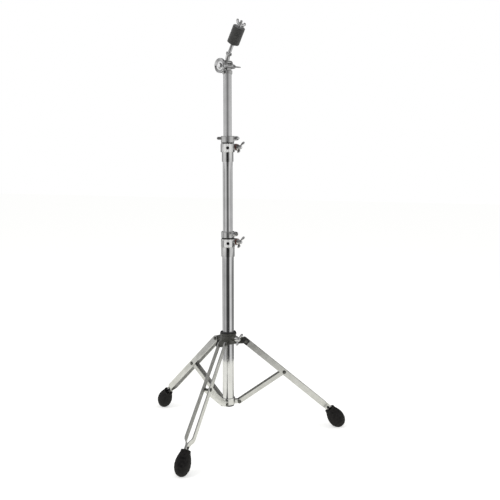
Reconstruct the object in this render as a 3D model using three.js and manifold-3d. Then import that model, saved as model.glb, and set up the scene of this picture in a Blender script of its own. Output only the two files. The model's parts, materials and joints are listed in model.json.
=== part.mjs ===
// Straight cymbal stand: a folding tripod with legs of two flat strips each, three
// telescoping tubes held by clamp collars and memory locks, and a brake tilter that
// carries the cymbal rod. Millimetres, +Z up, one leg along -Y. The origin is on the
// floor, under the middle of the stand's bounding box.

import * as THREE from 'three';
import { mergeVertices } from 'three/addons/utils/BufferGeometryUtils.js';
import Module from 'manifold-3d';

const wasm = await Module();
wasm.setup();

// Clearances, and how finely round shapes are divided
const SLIP_GAP = 0.2;
const SEAT_GAP = 0.3;
const OVERRUN = 3;
const MERGE_DISTANCE = 0.0001;
const TUBE_SIDES = 32;
const CAST_SIDES = 24;
const SMALL_SIDES = 12;
const ARC_STEPS = 4;

// Directions round the stand's axis, in degrees from +X
const LEG_DIRECTIONS = [270, 30, 150];
const EAR_DIRECTION = 60;
const FACE_DIRECTION = -69;
const LOWER_LOCK_DIRECTION = -19;
const UPPER_LOCK_DIRECTION = 51;
const LOCK_LUG_TURN = 150;
const TILT_DIRECTION = -27;

// The three tubes: outer radius, wall, length, and how far each stands out of the last
const BASE_TUBE_RADIUS = 14.3;
const BASE_TUBE_WALL = 1.6;
const BASE_TUBE_LENGTH = 399;
const BASE_TUBE_BOTTOM = 77;
const MIDDLE_TUBE_RADIUS = 12;
const MIDDLE_TUBE_WALL = 1.3;
const MIDDLE_TUBE_LENGTH = 447;
const MIDDLE_TUBE_RISE = 232;
const TOP_TUBE_RADIUS = 10;
const TOP_TUBE_WALL = 1.2;
const TOP_TUBE_LENGTH = 461;
const TOP_TUBE_RISE = 189;

// The plug in the base tube's open end
const PLUG_FLANGE_THICKNESS = 3;
const PLUG_DEPTH = 12;
const PLUG_DIMPLE_RADIUS = 5;
const PLUG_DIMPLE_DEPTH = 2;

// Legs: two flat strips side by side, joggled together at the foot
const LEG_ANGLE = 40.5;
const LEG_PIVOT_RADIUS = 42;
const STRIP_HEIGHT = 14.8;
const STRIP_THICKNESS = 2.8;
const LEG_TOP_SPREAD = 15.9;
const LEG_FOOT_SPREAD = 19.5;
const LEG_JOGGLE_START = 262;
const LEG_JOGGLE_LENGTH = 20;
const STRUT_JOINT_DISTANCE = 131;
const FOOT_RIVET_DISTANCE = 286;

// Rubber feet, pear shaped and bent down from the leg, with the outline as shares of
// their length and radius
const FOOT_DISTANCE = 292;
const FOOT_BEND_ANGLE = 14;
const FOOT_LENGTH = 60;
const FOOT_RADIUS = 21.2;
const FOOT_WIDTH_SHARE = 0.86;
const FOOT_SOCKET_DEPTH = 28;
const FOOT_FLAT_DEPTH = 1.4;
const FLOOR_CUT_REACH = 200;
const FOOT_OUTLINE_SHARES = [
  [0, 0.62], [0.1, 0.66], [0.22, 0.8], [0.38, 0.95], [0.55, 1],
  [0.72, 0.93], [0.86, 0.72], [0.95, 0.45],
];
const FOOT_RINGS = 10;

// Rivets and pivot pins
const PIVOT_PIN_RADIUS = 3.2;
const PIVOT_HEAD_RADIUS = 4.6;
const RIVET_RADIUS = 2.5;
const RIVET_HEAD_RADIUS = 4.6;
const FOOT_RIVET_RADIUS = 1.8;
const FOOT_RIVET_HEAD_RADIUS = 3.4;
const RIVET_HEAD_HEIGHT = 1.8;
const HEAD_CROWN_SHARE = 0.6;

// Nylon cap on the outside of each leg's pivot
const CAP_LENGTH = 17;
const CAP_THICKNESS = 3.6;
const CAP_CORNER = 2;

// Leg hub, which slides on the base tube
const HUB_RADIUS = 20.5;
const HUB_HEIGHT = 26;
const HUB_PIVOT_RISE = 5;
const HUB_RIM_HEIGHT = 4;
const HUB_WAIST_RADIUS = 19;
const HUB_EYE_RADIUS = 7;
const HUB_BUSH_WALL = 2.2;
const HUB_BUSH_FLANGE_RADIUS = 19.4;
const HUB_BUSH_FLANGE_THICKNESS = 3;
const HUB_BOSS_RADIUS = 7.5;
const HUB_BOSS_REACH = 31;
const HUB_BOSS_RISE = 15.5;
const HUB_BOLT_RADIUS = 4;

// Strut hub, fixed on the base tube's lower end
const STRUT_HUB_RADIUS = 17;
const STRUT_HUB_HEIGHT = 16;
const STRUT_HUB_SETBACK = 1.5;
const STRUT_HUB_PIVOT_RISE = 5.5;
const STRUT_PIVOT_RADIUS = 27;
const STRUT_EYE_RADIUS = 5.2;

// Struts: channels that stand open side up
const STRUT_END_RADIUS = 5.5;
const STRUT_WALL = 1.6;
const STRUT_WEB_SETBACK = 10;

// Clamp collars on the tubes' upper ends
const SLEEVE_HEIGHT = 23;
const SLEEVE_WALL = 2;
const CLAMP_HEIGHT = 21;
const CLAMP_RADIUS = 17;
const CLAMP_CHAMFER = 1;
const CLAMP_SPLIT = 2.2;
const FACE_WIDTH = 19.5;
const FACE_HEIGHT = 19;
const FACE_REACH = 16.8;
const FACE_CORNER = 3;
const EAR_HALF_THICKNESS = 6.5;
const EAR_RADIUS = 8.5;
const EAR_RISE = 12;
const EAR_BOLT_DISTANCE = 24.5;
const BUSH_STEP = 0.5;
const BUSH_FLANGE_RADIUS = 15.6;
const BUSH_FLANGE_THICKNESS = 1.5;
const COLLAR_SCREW_HEAD_RADIUS = 3.6;
const COLLAR_SCREW_HEAD_HEIGHT = 1.6;
const COLLAR_SCREW_RADIUS = 1.6;
const COLLAR_SCREW_RECESS = 1;
const COLLAR_SCREW_DEPTH = 1.2;
const HEX_SOCKET_RADIUS = 1.7;
const HEX_SOCKET_DEPTH = 1;

// Clamp bolt, washer and wing nut of each collar
const CLAMP_BOLT_RADIUS = 3;
const CLAMP_HEAD_SIDE = 10;
const CLAMP_HEAD_HEIGHT = 4.5;
const CLAMP_BOLT_STANDOUT = 1.5;
const WASHER_RADIUS = 7.6;
const WASHER_THICKNESS = 1.5;

// Wing nuts: the hub, and the two wings on it
const CLAMP_WING = {
  hubRadius: 6.5,
  hubHeight: 13,
  shoulderRadius: 5,
  shoulderHeight: 10.5,
  reach: 16.5,
  rootHeight: 7.3,
  tipRadius: 4.6,
  tipHeight: 12.4,
  thickness: 3.6,
};
const CYMBAL_WING = {
  hubRadius: 5.4,
  hubHeight: 8.5,
  shoulderRadius: 4.4,
  shoulderHeight: 6.5,
  reach: 14.4,
  rootHeight: 1.2,
  tipRadius: 3.9,
  tipHeight: 9.2,
  thickness: 3,
};
const TILTER_WING_REACH = 20;
const WING_TIP_LOWER_TURN = -60;
const WING_TIP_UPPER_TURN = 130;
const CLAMP_WING_TURN = 55;
const TILTER_WING_TURN = 8;
const CYMBAL_WING_TURN = 17;

// Memory locks, one on each sliding tube above its collar
const LOCK_RADIUS = 16.3;
const LOCK_HEIGHT = 16;
const LOCK_CHAMFER = 1.2;
const LOCK_SPLIT = 2;
const LOCK_EAR_HALF_THICKNESS = 5;
const LOCK_EAR_HEIGHT = 11;
const LOCK_EAR_REACH = 29;
const LOCK_SCREW_DISTANCE = 23;
const LOCK_SCREW_RADIUS = 2.4;
const LOCK_SCREW_HEAD_SIDE = 5.6;
const LOCK_SCREW_HEAD_HEIGHT = 6.5;
const LOCK_SCREW_COLLAR_RADIUS = 4.4;
const LOCK_SCREW_COLLAR_HEIGHT = 1.5;
const LOCK_LUG_REACH = 26;
const LOCK_LUG_WIDTH = 8;
const LOCK_LUG_HEIGHT = 7;

// Tilter: a cap with an eye on the top tube, a forked arm, a brake disc and its screw
const TILT_AXIS_RISE = 16;
const TILTER_CAP_RADIUS = 11.8;
const TILTER_CAP_SKIRT = 3;
const TILTER_CAP_CROWN = 6;
const TILTER_CAP_CHAMFER = 1;
const TILTER_EYE_RADIUS = 8;
const TILTER_EYE_HALF_WIDTH = 6;
const TILTER_NECK_DEPTH = 13;
const ARM_CHEEK_THICKNESS = 4.5;
const ARM_SLOT_RADIUS = 9.2;
const ARM_STRAIGHT_RISE = 5.5;
const ARM_NECK_RADIUS = 5;
const ARM_NECK_STEPS = 6;
const ARM_NECK_SIDES = 12;
const ROD_LEAN = 32;
const ROD_FOOT_OFFSET = 4;
const ROD_FOOT_RISE = 26;
const TILTER_SCREW_RADIUS = 3;
const TILTER_SCREW_HEAD_RADIUS = 5.5;
const TILTER_SCREW_HEAD_HEIGHT = 3;
const DISC_RADIUS = 17.5;
const DISC_THICKNESS = 6;
const DISC_CHAMFER = 1.2;
const DISC_BOSS_RADIUS = 7;
const DISC_BOSS_LENGTH = 9;

// Cymbal rod and what sits on it, with heights along the rod from its foot
const ROD_RADIUS = 4;
const ROD_THREAD_RADIUS = 3;
const ROD_SOCKET_DEPTH = 9;
const ROD_SHANK_LENGTH = 28;
const ROD_THREAD_LENGTH = 60.5;
const ROD_TIP_CHAMFER = 0.8;
const ROD_NUT_RADIUS = 7.5;
const ROD_NUT_THICKNESS = 5;
const HEX_SIDES = 6;
const SQUARE_SIDES = 4;
const CYMBAL_SLEEVE_RADIUS = 4.9;
const CYMBAL_SLEEVE_FLANGE_RADIUS = 9;
const CYMBAL_SLEEVE_FLANGE_THICKNESS = 1.8;
const FELT_RADIUS = 15;
const FELT_ROUND = 1.2;
const LOWER_FELT_LENGTH = 25;
const UPPER_FELT_LENGTH = 17;
const CYMBAL_WASHER_RADIUS = 8.5;
const CYMBAL_WASHER_THICKNESS = 1.2;

// Finishes: colour, roughness and metalness
const FINISHES = {
  chrome: [0xd9dcdc, 0.08, 1],
  castChrome: [0xb4b6b2, 0.16, 1],
  blackSteel: [0x1c1c1d, 0.35, 0.7],
  nylon: [0x111112, 0.5, 0],
  rubber: [0x1b1a1c, 0.85, 0],
  felt: [0x2a2a29, 0.95, 0],
  fibre: [0x5a2c26, 0.6, 0],
};

// Places that follow from the sizes
const legAngle = THREE.MathUtils.degToRad(LEG_ANGLE);
const footAngle = legAngle + THREE.MathUtils.degToRad(FOOT_BEND_ANGLE);
const rodLean = THREE.MathUtils.degToRad(ROD_LEAN);
const quarterTurn = Math.PI / 2;
const baseTubeTop = BASE_TUBE_BOTTOM + BASE_TUBE_LENGTH;
const middleTubeTop = baseTubeTop + MIDDLE_TUBE_RISE;
const topTubeTop = middleTubeTop + TOP_TUBE_RISE;
const pivotHeight = footDropBelowPivot() - FOOT_FLAT_DEPTH;
const strutHubBottom = BASE_TUBE_BOTTOM + STRUT_HUB_SETBACK;
const strutJointRadius = LEG_PIVOT_RADIUS + STRUT_JOINT_DISTANCE * Math.cos(legAngle);
const strutJointHeight = pivotHeight - STRUT_JOINT_DISTANCE * Math.sin(legAngle);
const strutDrop = strutJointHeight - strutHubBottom - STRUT_HUB_PIVOT_RISE;
const strutRun = strutJointRadius - STRUT_PIVOT_RADIUS;
const strutLength = Math.hypot(strutRun, strutDrop);
const strutAngle = Math.atan2(strutDrop, strutRun);
const hubTongueWidth = LEG_TOP_SPREAD - STRIP_THICKNESS - 2 * SEAT_GAP;
const strutWidth = legSpreadAt(STRUT_JOINT_DISTANCE) - STRIP_THICKNESS - 2 * SEAT_GAP;
const strutTongueWidth = strutWidth - 2 * STRUT_WALL - 2 * SEAT_GAP;

// How far the two strips' middles stand apart, at a distance along the leg
function legSpreadAt(distance) {
  return LEG_TOP_SPREAD + (LEG_FOOT_SPREAD - LEG_TOP_SPREAD) * distance / LEG_JOGGLE_START;
}

// A foot's half outline as points of radius and distance along the foot
function footOutline() {
  const shares = FOOT_OUTLINE_SHARES.map(([along, across]) => new THREE.Vector2(along, across));
  const curve = new THREE.SplineCurve([...shares, new THREE.Vector2(1, 0)]);
  return curve.getPoints(FOOT_RINGS).map((share) => [
    FOOT_RADIUS * Math.max(share.y, 0), FOOT_LENGTH * share.x,
  ]);
}

// How far below the leg's pivot the uncut foot reaches
function footDropBelowPivot() {
  const drops = footOutline().map(([radius, distance]) => (
    distance * Math.sin(footAngle) + radius * Math.cos(footAngle)
  ));
  return FOOT_DISTANCE * Math.sin(legAngle) + Math.max(...drops);
}

// A closed geometry as a solid: positions only, shared corners merged, and triangles
// that shrank to a line at a pole left out
function toSolid(geometry) {
  const bare = new THREE.BufferGeometry();
  bare.setAttribute('position', geometry.getAttribute('position').clone());
  bare.setIndex(geometry.index);
  const merged = mergeVertices(bare, MERGE_DISTANCE);
  const corners = merged.index.array;
  const kept = [];
  for (let first = 0; first < corners.length; first += 3) {
    const [a, b, c] = corners.slice(first, first + 3);
    if (a !== b && b !== c && c !== a) {
      kept.push(a, b, c);
    }
  }
  return new wasm.Manifold(new wasm.Mesh({
    numProp: 3,
    vertProperties: merged.getAttribute('position').array,
    triVerts: new Uint32Array(kept),
  }));
}

function toGeometry(solid) {
  const mesh = solid.getMesh();
  const geometry = new THREE.BufferGeometry();
  geometry.setAttribute('position', new THREE.BufferAttribute(mesh.vertProperties, 3));
  geometry.setIndex(new THREE.BufferAttribute(mesh.triVerts, 1));
  geometry.computeVertexNormals();
  return geometry;
}

function join(first, ...others) {
  return toGeometry(others.reduce((solid, other) => solid.add(toSolid(other)), toSolid(first)));
}

function cut(first, ...tools) {
  return toGeometry(tools.reduce((solid, tool) => solid.subtract(toSolid(tool)), toSolid(first)));
}

function keepInside(first, other) {
  return toGeometry(toSolid(first).intersect(toSolid(other)));
}

// A turned piece: half its outline as points of radius and height, going up on the
// outside, turned round the Z axis
function turned(outline, sides) {
  const points = outline.map(([radius, height]) => new THREE.Vector2(radius, height));
  return new THREE.LatheGeometry(points, sides).rotateX(quarterTurn);
}

function rod(radius, bottom, top, sides) {
  return turned([[0, bottom], [radius, bottom], [radius, top], [0, top]], sides);
}

function tube(outer, inner, bottom, top, sides) {
  return turned([[inner, bottom], [outer, bottom], [outer, top], [inner, top], [inner, bottom]], sides);
}

// A box between two corners
function box(low, high) {
  const size = high.map((value, axis) => value - low[axis]);
  const middle = high.map((value, axis) => (value + low[axis]) / 2);
  return new THREE.BoxGeometry(...size).translate(...middle);
}

// A shape drawn with its second axis upwards, as a plate in the XZ plane
function plate(shape, width) {
  const options = { depth: width, bevelEnabled: false, curveSegments: ARC_STEPS };
  return new THREE.ExtrudeGeometry(shape, options).translate(0, 0, -width / 2).rotateX(quarterTurn);
}

// A bar along the first axis with a round end about each of two centres
function roundBar(from, to, radius) {
  const shape = new THREE.Shape();
  shape.absarc(from, 0, radius, quarterTurn, 3 * quarterTurn, false);
  shape.absarc(to, 0, radius, -quarterTurn, quarterTurn, false);
  shape.closePath();
  return shape;
}

function roundedRectangle(halfWidth, halfHeight, corner) {
  const shape = new THREE.Shape();
  shape.absarc(halfWidth - corner, corner - halfHeight, corner, -quarterTurn, 0, false);
  shape.absarc(halfWidth - corner, halfHeight - corner, corner, 0, quarterTurn, false);
  shape.absarc(corner - halfWidth, halfHeight - corner, corner, quarterTurn, 2 * quarterTurn, false);
  shape.absarc(corner - halfWidth, corner - halfHeight, corner, 2 * quarterTurn, 3 * quarterTurn, false);
  shape.closePath();
  return shape;
}

// A rivet along the Y axis with a crowned head at each end, gripping a width
function rivet(radius, headRadius, halfGrip) {
  const crown = halfGrip + RIVET_HEAD_HEIGHT;
  const edge = halfGrip + RIVET_HEAD_HEIGHT * HEAD_CROWN_SHARE;
  const crownRadius = headRadius * HEAD_CROWN_SHARE;
  return turned([
    [0, -crown], [crownRadius, -crown], [headRadius, -edge], [headRadius, -halfGrip],
    [radius, -halfGrip], [radius, halfGrip], [headRadius, halfGrip], [headRadius, edge],
    [crownRadius, crown], [0, crown],
  ], SMALL_SIDES).rotateX(quarterTurn);
}

// A hole along the Y axis, wide enough to cut all the way through
function crossHole(radius, x, z, halfWidth) {
  const reach = halfWidth + OVERRUN;
  return rod(radius, -reach, reach, SMALL_SIDES).rotateX(quarterTurn).translate(x, 0, z);
}

// One wing as a plate in the XZ plane: a root on the hub, swept up to a round tip
function wing(size) {
  const tipX = size.reach - size.tipRadius;
  const lower = THREE.MathUtils.degToRad(WING_TIP_LOWER_TURN);
  const upper = THREE.MathUtils.degToRad(WING_TIP_UPPER_TURN);
  const shape = new THREE.Shape();
  shape.moveTo(0, size.rootHeight);
  shape.lineTo(size.shoulderRadius, size.rootHeight);
  shape.quadraticCurveTo(
    tipX, size.rootHeight,
    tipX + size.tipRadius * Math.cos(lower), size.tipHeight + size.tipRadius * Math.sin(lower),
  );
  shape.absarc(tipX, size.tipHeight, size.tipRadius, lower, upper, false);
  shape.quadraticCurveTo(
    size.hubRadius, size.shoulderHeight,
    size.shoulderRadius * HEAD_CROWN_SHARE, size.shoulderHeight,
  );
  shape.lineTo(0, size.shoulderHeight);
  shape.closePath();
  return plate(shape, size.thickness);
}

// A hub along +Z with two wings, turned about its own axis
function winged(size, turn) {
  const hub = turned([
    [0, 0], [size.hubRadius, 0], [size.shoulderRadius, size.shoulderHeight],
    [size.shoulderRadius * HEAD_CROWN_SHARE, size.hubHeight], [0, size.hubHeight],
  ], SMALL_SIDES);
  const other = wing(size).rotateZ(Math.PI);
  return join(hub, wing(size), other).rotateZ(THREE.MathUtils.degToRad(turn));
}

function wingNut(size, turn, boltRadius) {
  return cut(
    winged(size, turn),
    rod(boltRadius + SLIP_GAP, -OVERRUN, size.hubHeight + OVERRUN, SMALL_SIDES),
  );
}

// A mesh with its own material in one of the finishes
function piece(name, finish, geometry) {
  const [color, roughness, metalness] = FINISHES[finish];
  const mesh = new THREE.Mesh(geometry, new THREE.MeshStandardMaterial({ color, roughness, metalness }));
  mesh.name = name;
  return mesh;
}

// A group turned about the stand's axis, so that its X axis points in a direction
function spoke(direction, ...children) {
  const group = new THREE.Group();
  group.rotation.z = THREE.MathUtils.degToRad(direction);
  group.add(...children);
  return group;
}

// Base column: the base tube, its plug, and the hub that the struts pivot on
function basePlug() {
  const bore = BASE_TUBE_RADIUS - BASE_TUBE_WALL - SLIP_GAP;
  const flangeTop = BASE_TUBE_BOTTOM - SEAT_GAP;
  const bottom = flangeTop - PLUG_FLANGE_THICKNESS;
  return turned([
    [0, bottom + PLUG_DIMPLE_DEPTH], [PLUG_DIMPLE_RADIUS, bottom + PLUG_DIMPLE_DEPTH],
    [PLUG_DIMPLE_RADIUS, bottom], [BASE_TUBE_RADIUS, bottom], [BASE_TUBE_RADIUS, flangeTop],
    [bore, flangeTop], [bore, flangeTop + PLUG_DEPTH], [0, flangeTop + PLUG_DEPTH],
  ], TUBE_SIDES);
}

function strutHub() {
  const top = strutHubBottom + STRUT_HUB_HEIGHT;
  const pivot = strutHubBottom + STRUT_HUB_PIVOT_RISE;
  const tongues = LEG_DIRECTIONS.map((direction) => (
    plate(roundBar(0, STRUT_PIVOT_RADIUS, STRUT_EYE_RADIUS), strutTongueWidth)
      .translate(0, 0, pivot)
      .rotateZ(THREE.MathUtils.degToRad(direction))
  ));
  return cut(
    join(rod(STRUT_HUB_RADIUS, strutHubBottom, top, TUBE_SIDES), ...tongues),
    rod(BASE_TUBE_RADIUS + SLIP_GAP, strutHubBottom - OVERRUN, top + OVERRUN, TUBE_SIDES),
  );
}

function baseColumn() {
  const bore = BASE_TUBE_RADIUS - BASE_TUBE_WALL;
  return [
    piece('base_tube', 'chrome', tube(BASE_TUBE_RADIUS, bore, BASE_TUBE_BOTTOM, baseTubeTop, TUBE_SIDES)),
    piece('base_plug', 'nylon', basePlug()),
    piece('strut_hub', 'castChrome', strutHub()),
  ];
}

// Leg hub: a casting with three tongues and a boss for the wing bolt, lined with a bush
const hubBottom = pivotHeight - HUB_PIVOT_RISE;
const hubTop = hubBottom + HUB_HEIGHT;
const hubBushRadius = BASE_TUBE_RADIUS + SLIP_GAP + HUB_BUSH_WALL;
const hubBoltHeight = hubBottom + HUB_BOSS_RISE;

function legHub() {
  const rimBottom = hubTop - HUB_RIM_HEIGHT;
  const body = turned([
    [0, hubBottom], [HUB_RADIUS, hubBottom], [HUB_RADIUS, pivotHeight + HUB_EYE_RADIUS],
    [HUB_WAIST_RADIUS, rimBottom - (HUB_RADIUS - HUB_WAIST_RADIUS)], [HUB_WAIST_RADIUS, rimBottom],
    [HUB_RADIUS, rimBottom], [HUB_RADIUS, hubTop], [0, hubTop],
  ], TUBE_SIDES);
  const tongues = LEG_DIRECTIONS.map((direction) => (
    cut(
      plate(roundBar(0, LEG_PIVOT_RADIUS, HUB_EYE_RADIUS), hubTongueWidth),
      crossHole(PIVOT_PIN_RADIUS + SLIP_GAP, LEG_PIVOT_RADIUS, 0, hubTongueWidth / 2),
    )
      .translate(0, 0, pivotHeight)
      .rotateZ(THREE.MathUtils.degToRad(direction))
  ));
  const towardsBolt = THREE.MathUtils.degToRad(EAR_DIRECTION);
  const boss = rod(HUB_BOSS_RADIUS, 0, HUB_BOSS_REACH, CAST_SIDES)
    .rotateX(quarterTurn)
    .translate(0, 0, hubBoltHeight)
    .rotateZ(towardsBolt);
  const boltHole = rod(HUB_BOLT_RADIUS + SLIP_GAP, 0, HUB_BOSS_REACH + OVERRUN, SMALL_SIDES)
    .rotateX(quarterTurn)
    .translate(0, 0, hubBoltHeight)
    .rotateZ(towardsBolt);
  return cut(
    join(body, ...tongues, boss),
    rod(hubBushRadius + SLIP_GAP, hubBottom - OVERRUN, hubTop + OVERRUN, TUBE_SIDES),
    boltHole,
  );
}

function hubBush() {
  const bore = BASE_TUBE_RADIUS + SLIP_GAP;
  const flangeBottom = hubTop + SEAT_GAP;
  const top = flangeBottom + HUB_BUSH_FLANGE_THICKNESS;
  return turned([
    [bore, hubBottom], [hubBushRadius, hubBottom], [hubBushRadius, flangeBottom],
    [HUB_BUSH_FLANGE_RADIUS, flangeBottom], [HUB_BUSH_FLANGE_RADIUS, top], [bore, top],
    [bore, hubBottom],
  ], TUBE_SIDES);
}

function hubWingBolt() {
  const wingFoot = HUB_BOSS_REACH + SEAT_GAP;
  const stemStart = hubBushRadius + 2 * SEAT_GAP;
  const stem = rod(HUB_BOLT_RADIUS, stemStart, wingFoot + CLAMP_WING.rootHeight, SMALL_SIDES);
  const head = winged(CLAMP_WING, CLAMP_WING_TURN).translate(0, 0, wingFoot);
  return join(head, stem).rotateX(quarterTurn).translate(0, 0, hubBoltHeight);
}

function hubGroup() {
  return [
    piece('leg_hub', 'nylon', legHub()),
    piece('hub_bush', 'nylon', hubBush()),
    spoke(EAR_DIRECTION, piece('hub_wing_bolt', 'chrome', hubWingBolt())),
  ];
}

// One strip of a leg, in the leg's frame: X along the leg from its pivot, Y across
function legStrip(side) {
  const half = STRIP_THICKNESS / 2;
  const start = -STRIP_HEIGHT;
  const joggleEnd = LEG_JOGGLE_START + LEG_JOGGLE_LENGTH;
  const joggleMiddle = (LEG_JOGGLE_START + joggleEnd) / 2;
  const end = FOOT_DISTANCE + FOOT_SOCKET_DEPTH - SEAT_GAP;
  const topPlace = legSpreadAt(start) / 2;
  const footPlace = LEG_FOOT_SPREAD / 2;
  const closedPlace = (STRIP_THICKNESS + SEAT_GAP) / 2;
  const shape = new THREE.Shape();
  shape.moveTo(start, side * (topPlace - half));
  shape.lineTo(LEG_JOGGLE_START, side * (footPlace - half));
  shape.bezierCurveTo(
    joggleMiddle, side * (footPlace - half), joggleMiddle, side * (closedPlace - half),
    joggleEnd, side * (closedPlace - half),
  );
  shape.lineTo(end, side * (closedPlace - half));
  shape.lineTo(end, side * (closedPlace + half));
  shape.lineTo(joggleEnd, side * (closedPlace + half));
  shape.bezierCurveTo(
    joggleMiddle, side * (closedPlace + half), joggleMiddle, side * (footPlace + half),
    LEG_JOGGLE_START, side * (footPlace + half),
  );
  shape.lineTo(start, side * (topPlace + half));
  shape.closePath();
  const options = { depth: STRIP_HEIGHT, bevelEnabled: false, curveSegments: ARC_STEPS };
  const ribbon = new THREE.ExtrudeGeometry(shape, options).translate(0, 0, -STRIP_HEIGHT / 2);
  const outline = plate(roundBar(0, 2 * end, STRIP_HEIGHT / 2), 2 * LEG_FOOT_SPREAD);
  return cut(
    keepInside(ribbon, outline),
    crossHole(PIVOT_PIN_RADIUS + SLIP_GAP, 0, 0, LEG_FOOT_SPREAD),
    crossHole(RIVET_RADIUS + SLIP_GAP, STRUT_JOINT_DISTANCE, 0, LEG_FOOT_SPREAD),
    crossHole(FOOT_RIVET_RADIUS + SLIP_GAP, FOOT_RIVET_DISTANCE, 0, LEG_FOOT_SPREAD),
  );
}

// The nylon cap lies on the strip that comes first when the legs are counted clockwise
function pivotCap() {
  const inner = legSpreadAt(0) / 2 + STRIP_THICKNESS / 2 + SEAT_GAP;
  const shape = roundedRectangle(CAP_LENGTH / 2, STRIP_HEIGHT / 2, CAP_CORNER);
  return cut(
    plate(shape, CAP_THICKNESS).translate(0, -inner - CAP_THICKNESS / 2, 0),
    crossHole(PIVOT_PIN_RADIUS + SLIP_GAP, 0, 0, inner + CAP_THICKNESS),
  );
}

// The pivot pin's head lies on the cap at one end and on the strip at the other
function pivotPin() {
  const strip = legSpreadAt(0) / 2 + STRIP_THICKNESS / 2 + SEAT_GAP;
  const cap = strip + CAP_THICKNESS + SEAT_GAP;
  return rivet(PIVOT_PIN_RADIUS, PIVOT_HEAD_RADIUS, (strip + cap) / 2).translate(0, (strip - cap) / 2, 0);
}

// A foot in its spoke's frame: turned about its own bent axis, slotted for the strips
// and cut flat where it stands on the floor
function foot() {
  const socketHalfWidth = STRIP_THICKNESS + SEAT_GAP / 2 + SEAT_GAP;
  const socketHalfHeight = STRIP_HEIGHT / 2 + SEAT_GAP;
  const body = turned([[0, 0], ...footOutline()], CAST_SIDES)
    .scale(1, FOOT_WIDTH_SHARE, 1)
    .rotateY(quarterTurn + footAngle - legAngle);
  const socket = box(
    [-FOOT_DISTANCE / 2, -socketHalfWidth, -socketHalfHeight],
    [FOOT_SOCKET_DEPTH, socketHalfWidth, socketHalfHeight],
  );
  const placed = cut(body, socket)
    .translate(FOOT_DISTANCE, 0, 0)
    .rotateY(legAngle)
    .translate(LEG_PIVOT_RADIUS, 0, pivotHeight);
  const below = box(
    [LEG_PIVOT_RADIUS, -FLOOR_CUT_REACH, -FLOOR_CUT_REACH],
    [LEG_PIVOT_RADIUS + FOOT_DISTANCE + FOOT_LENGTH, FLOOR_CUT_REACH, 0],
  );
  return cut(placed, below);
}

// A strut in its own frame: a channel along X from its joint in the leg to the strut hub,
// with a formed rivet head on each cheek at the hub end
function strut() {
  const innerHalf = strutWidth / 2 - STRUT_WALL;
  const webInside = STRUT_END_RADIUS - STRUT_WALL;
  const past = STRUT_END_RADIUS + OVERRUN;
  const heads = [-1, 1].map((side) => (
    rod(RIVET_HEAD_RADIUS, strutWidth / 2 - STRUT_WALL / 2, strutWidth / 2 + RIVET_HEAD_HEIGHT, SMALL_SIDES)
      .rotateX(side * quarterTurn)
      .translate(strutLength, 0, 0)
  ));
  return join(
    cut(
      plate(roundBar(0, strutLength, STRUT_END_RADIUS), strutWidth),
      box([-past, -innerHalf, -past], [strutLength + past, innerHalf, webInside]),
      box([strutLength - STRUT_WEB_SETBACK, -innerHalf, 0], [strutLength + past, innerHalf, past]),
      crossHole(RIVET_RADIUS + SLIP_GAP, 0, 0, strutWidth),
    ),
    ...heads,
  );
}

function leg(number, direction) {
  const limb = new THREE.Group();
  limb.position.set(LEG_PIVOT_RADIUS, 0, pivotHeight);
  limb.rotation.y = legAngle;
  const jointGrip = legSpreadAt(STRUT_JOINT_DISTANCE) / 2 + STRIP_THICKNESS / 2 + SEAT_GAP;
  const footGrip = STRIP_THICKNESS + SEAT_GAP + SEAT_GAP / 2;
  limb.add(
    piece(`leg_strip_a_${number}`, 'chrome', legStrip(-1)),
    piece(`leg_strip_b_${number}`, 'chrome', legStrip(1)),
    piece(`pivot_cap_${number}`, 'nylon', pivotCap()),
    piece(`leg_pivot_pin_${number}`, 'blackSteel', pivotPin()),
    piece(
      `strut_rivet_${number}`, 'blackSteel',
      rivet(RIVET_RADIUS, RIVET_HEAD_RADIUS, jointGrip).translate(STRUT_JOINT_DISTANCE, 0, 0),
    ),
    piece(
      `foot_rivet_${number}`, 'blackSteel',
      rivet(FOOT_RIVET_RADIUS, FOOT_RIVET_HEAD_RADIUS, footGrip).translate(FOOT_RIVET_DISTANCE, 0, 0),
    ),
  );
  const brace = new THREE.Group();
  brace.position.set(strutJointRadius, 0, strutJointHeight);
  brace.rotation.y = Math.PI - strutAngle;
  brace.add(piece(`strut_${number}`, 'chrome', strut()));
  return spoke(direction, limb, brace, piece(`foot_${number}`, 'rubber', foot()));
}

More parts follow.
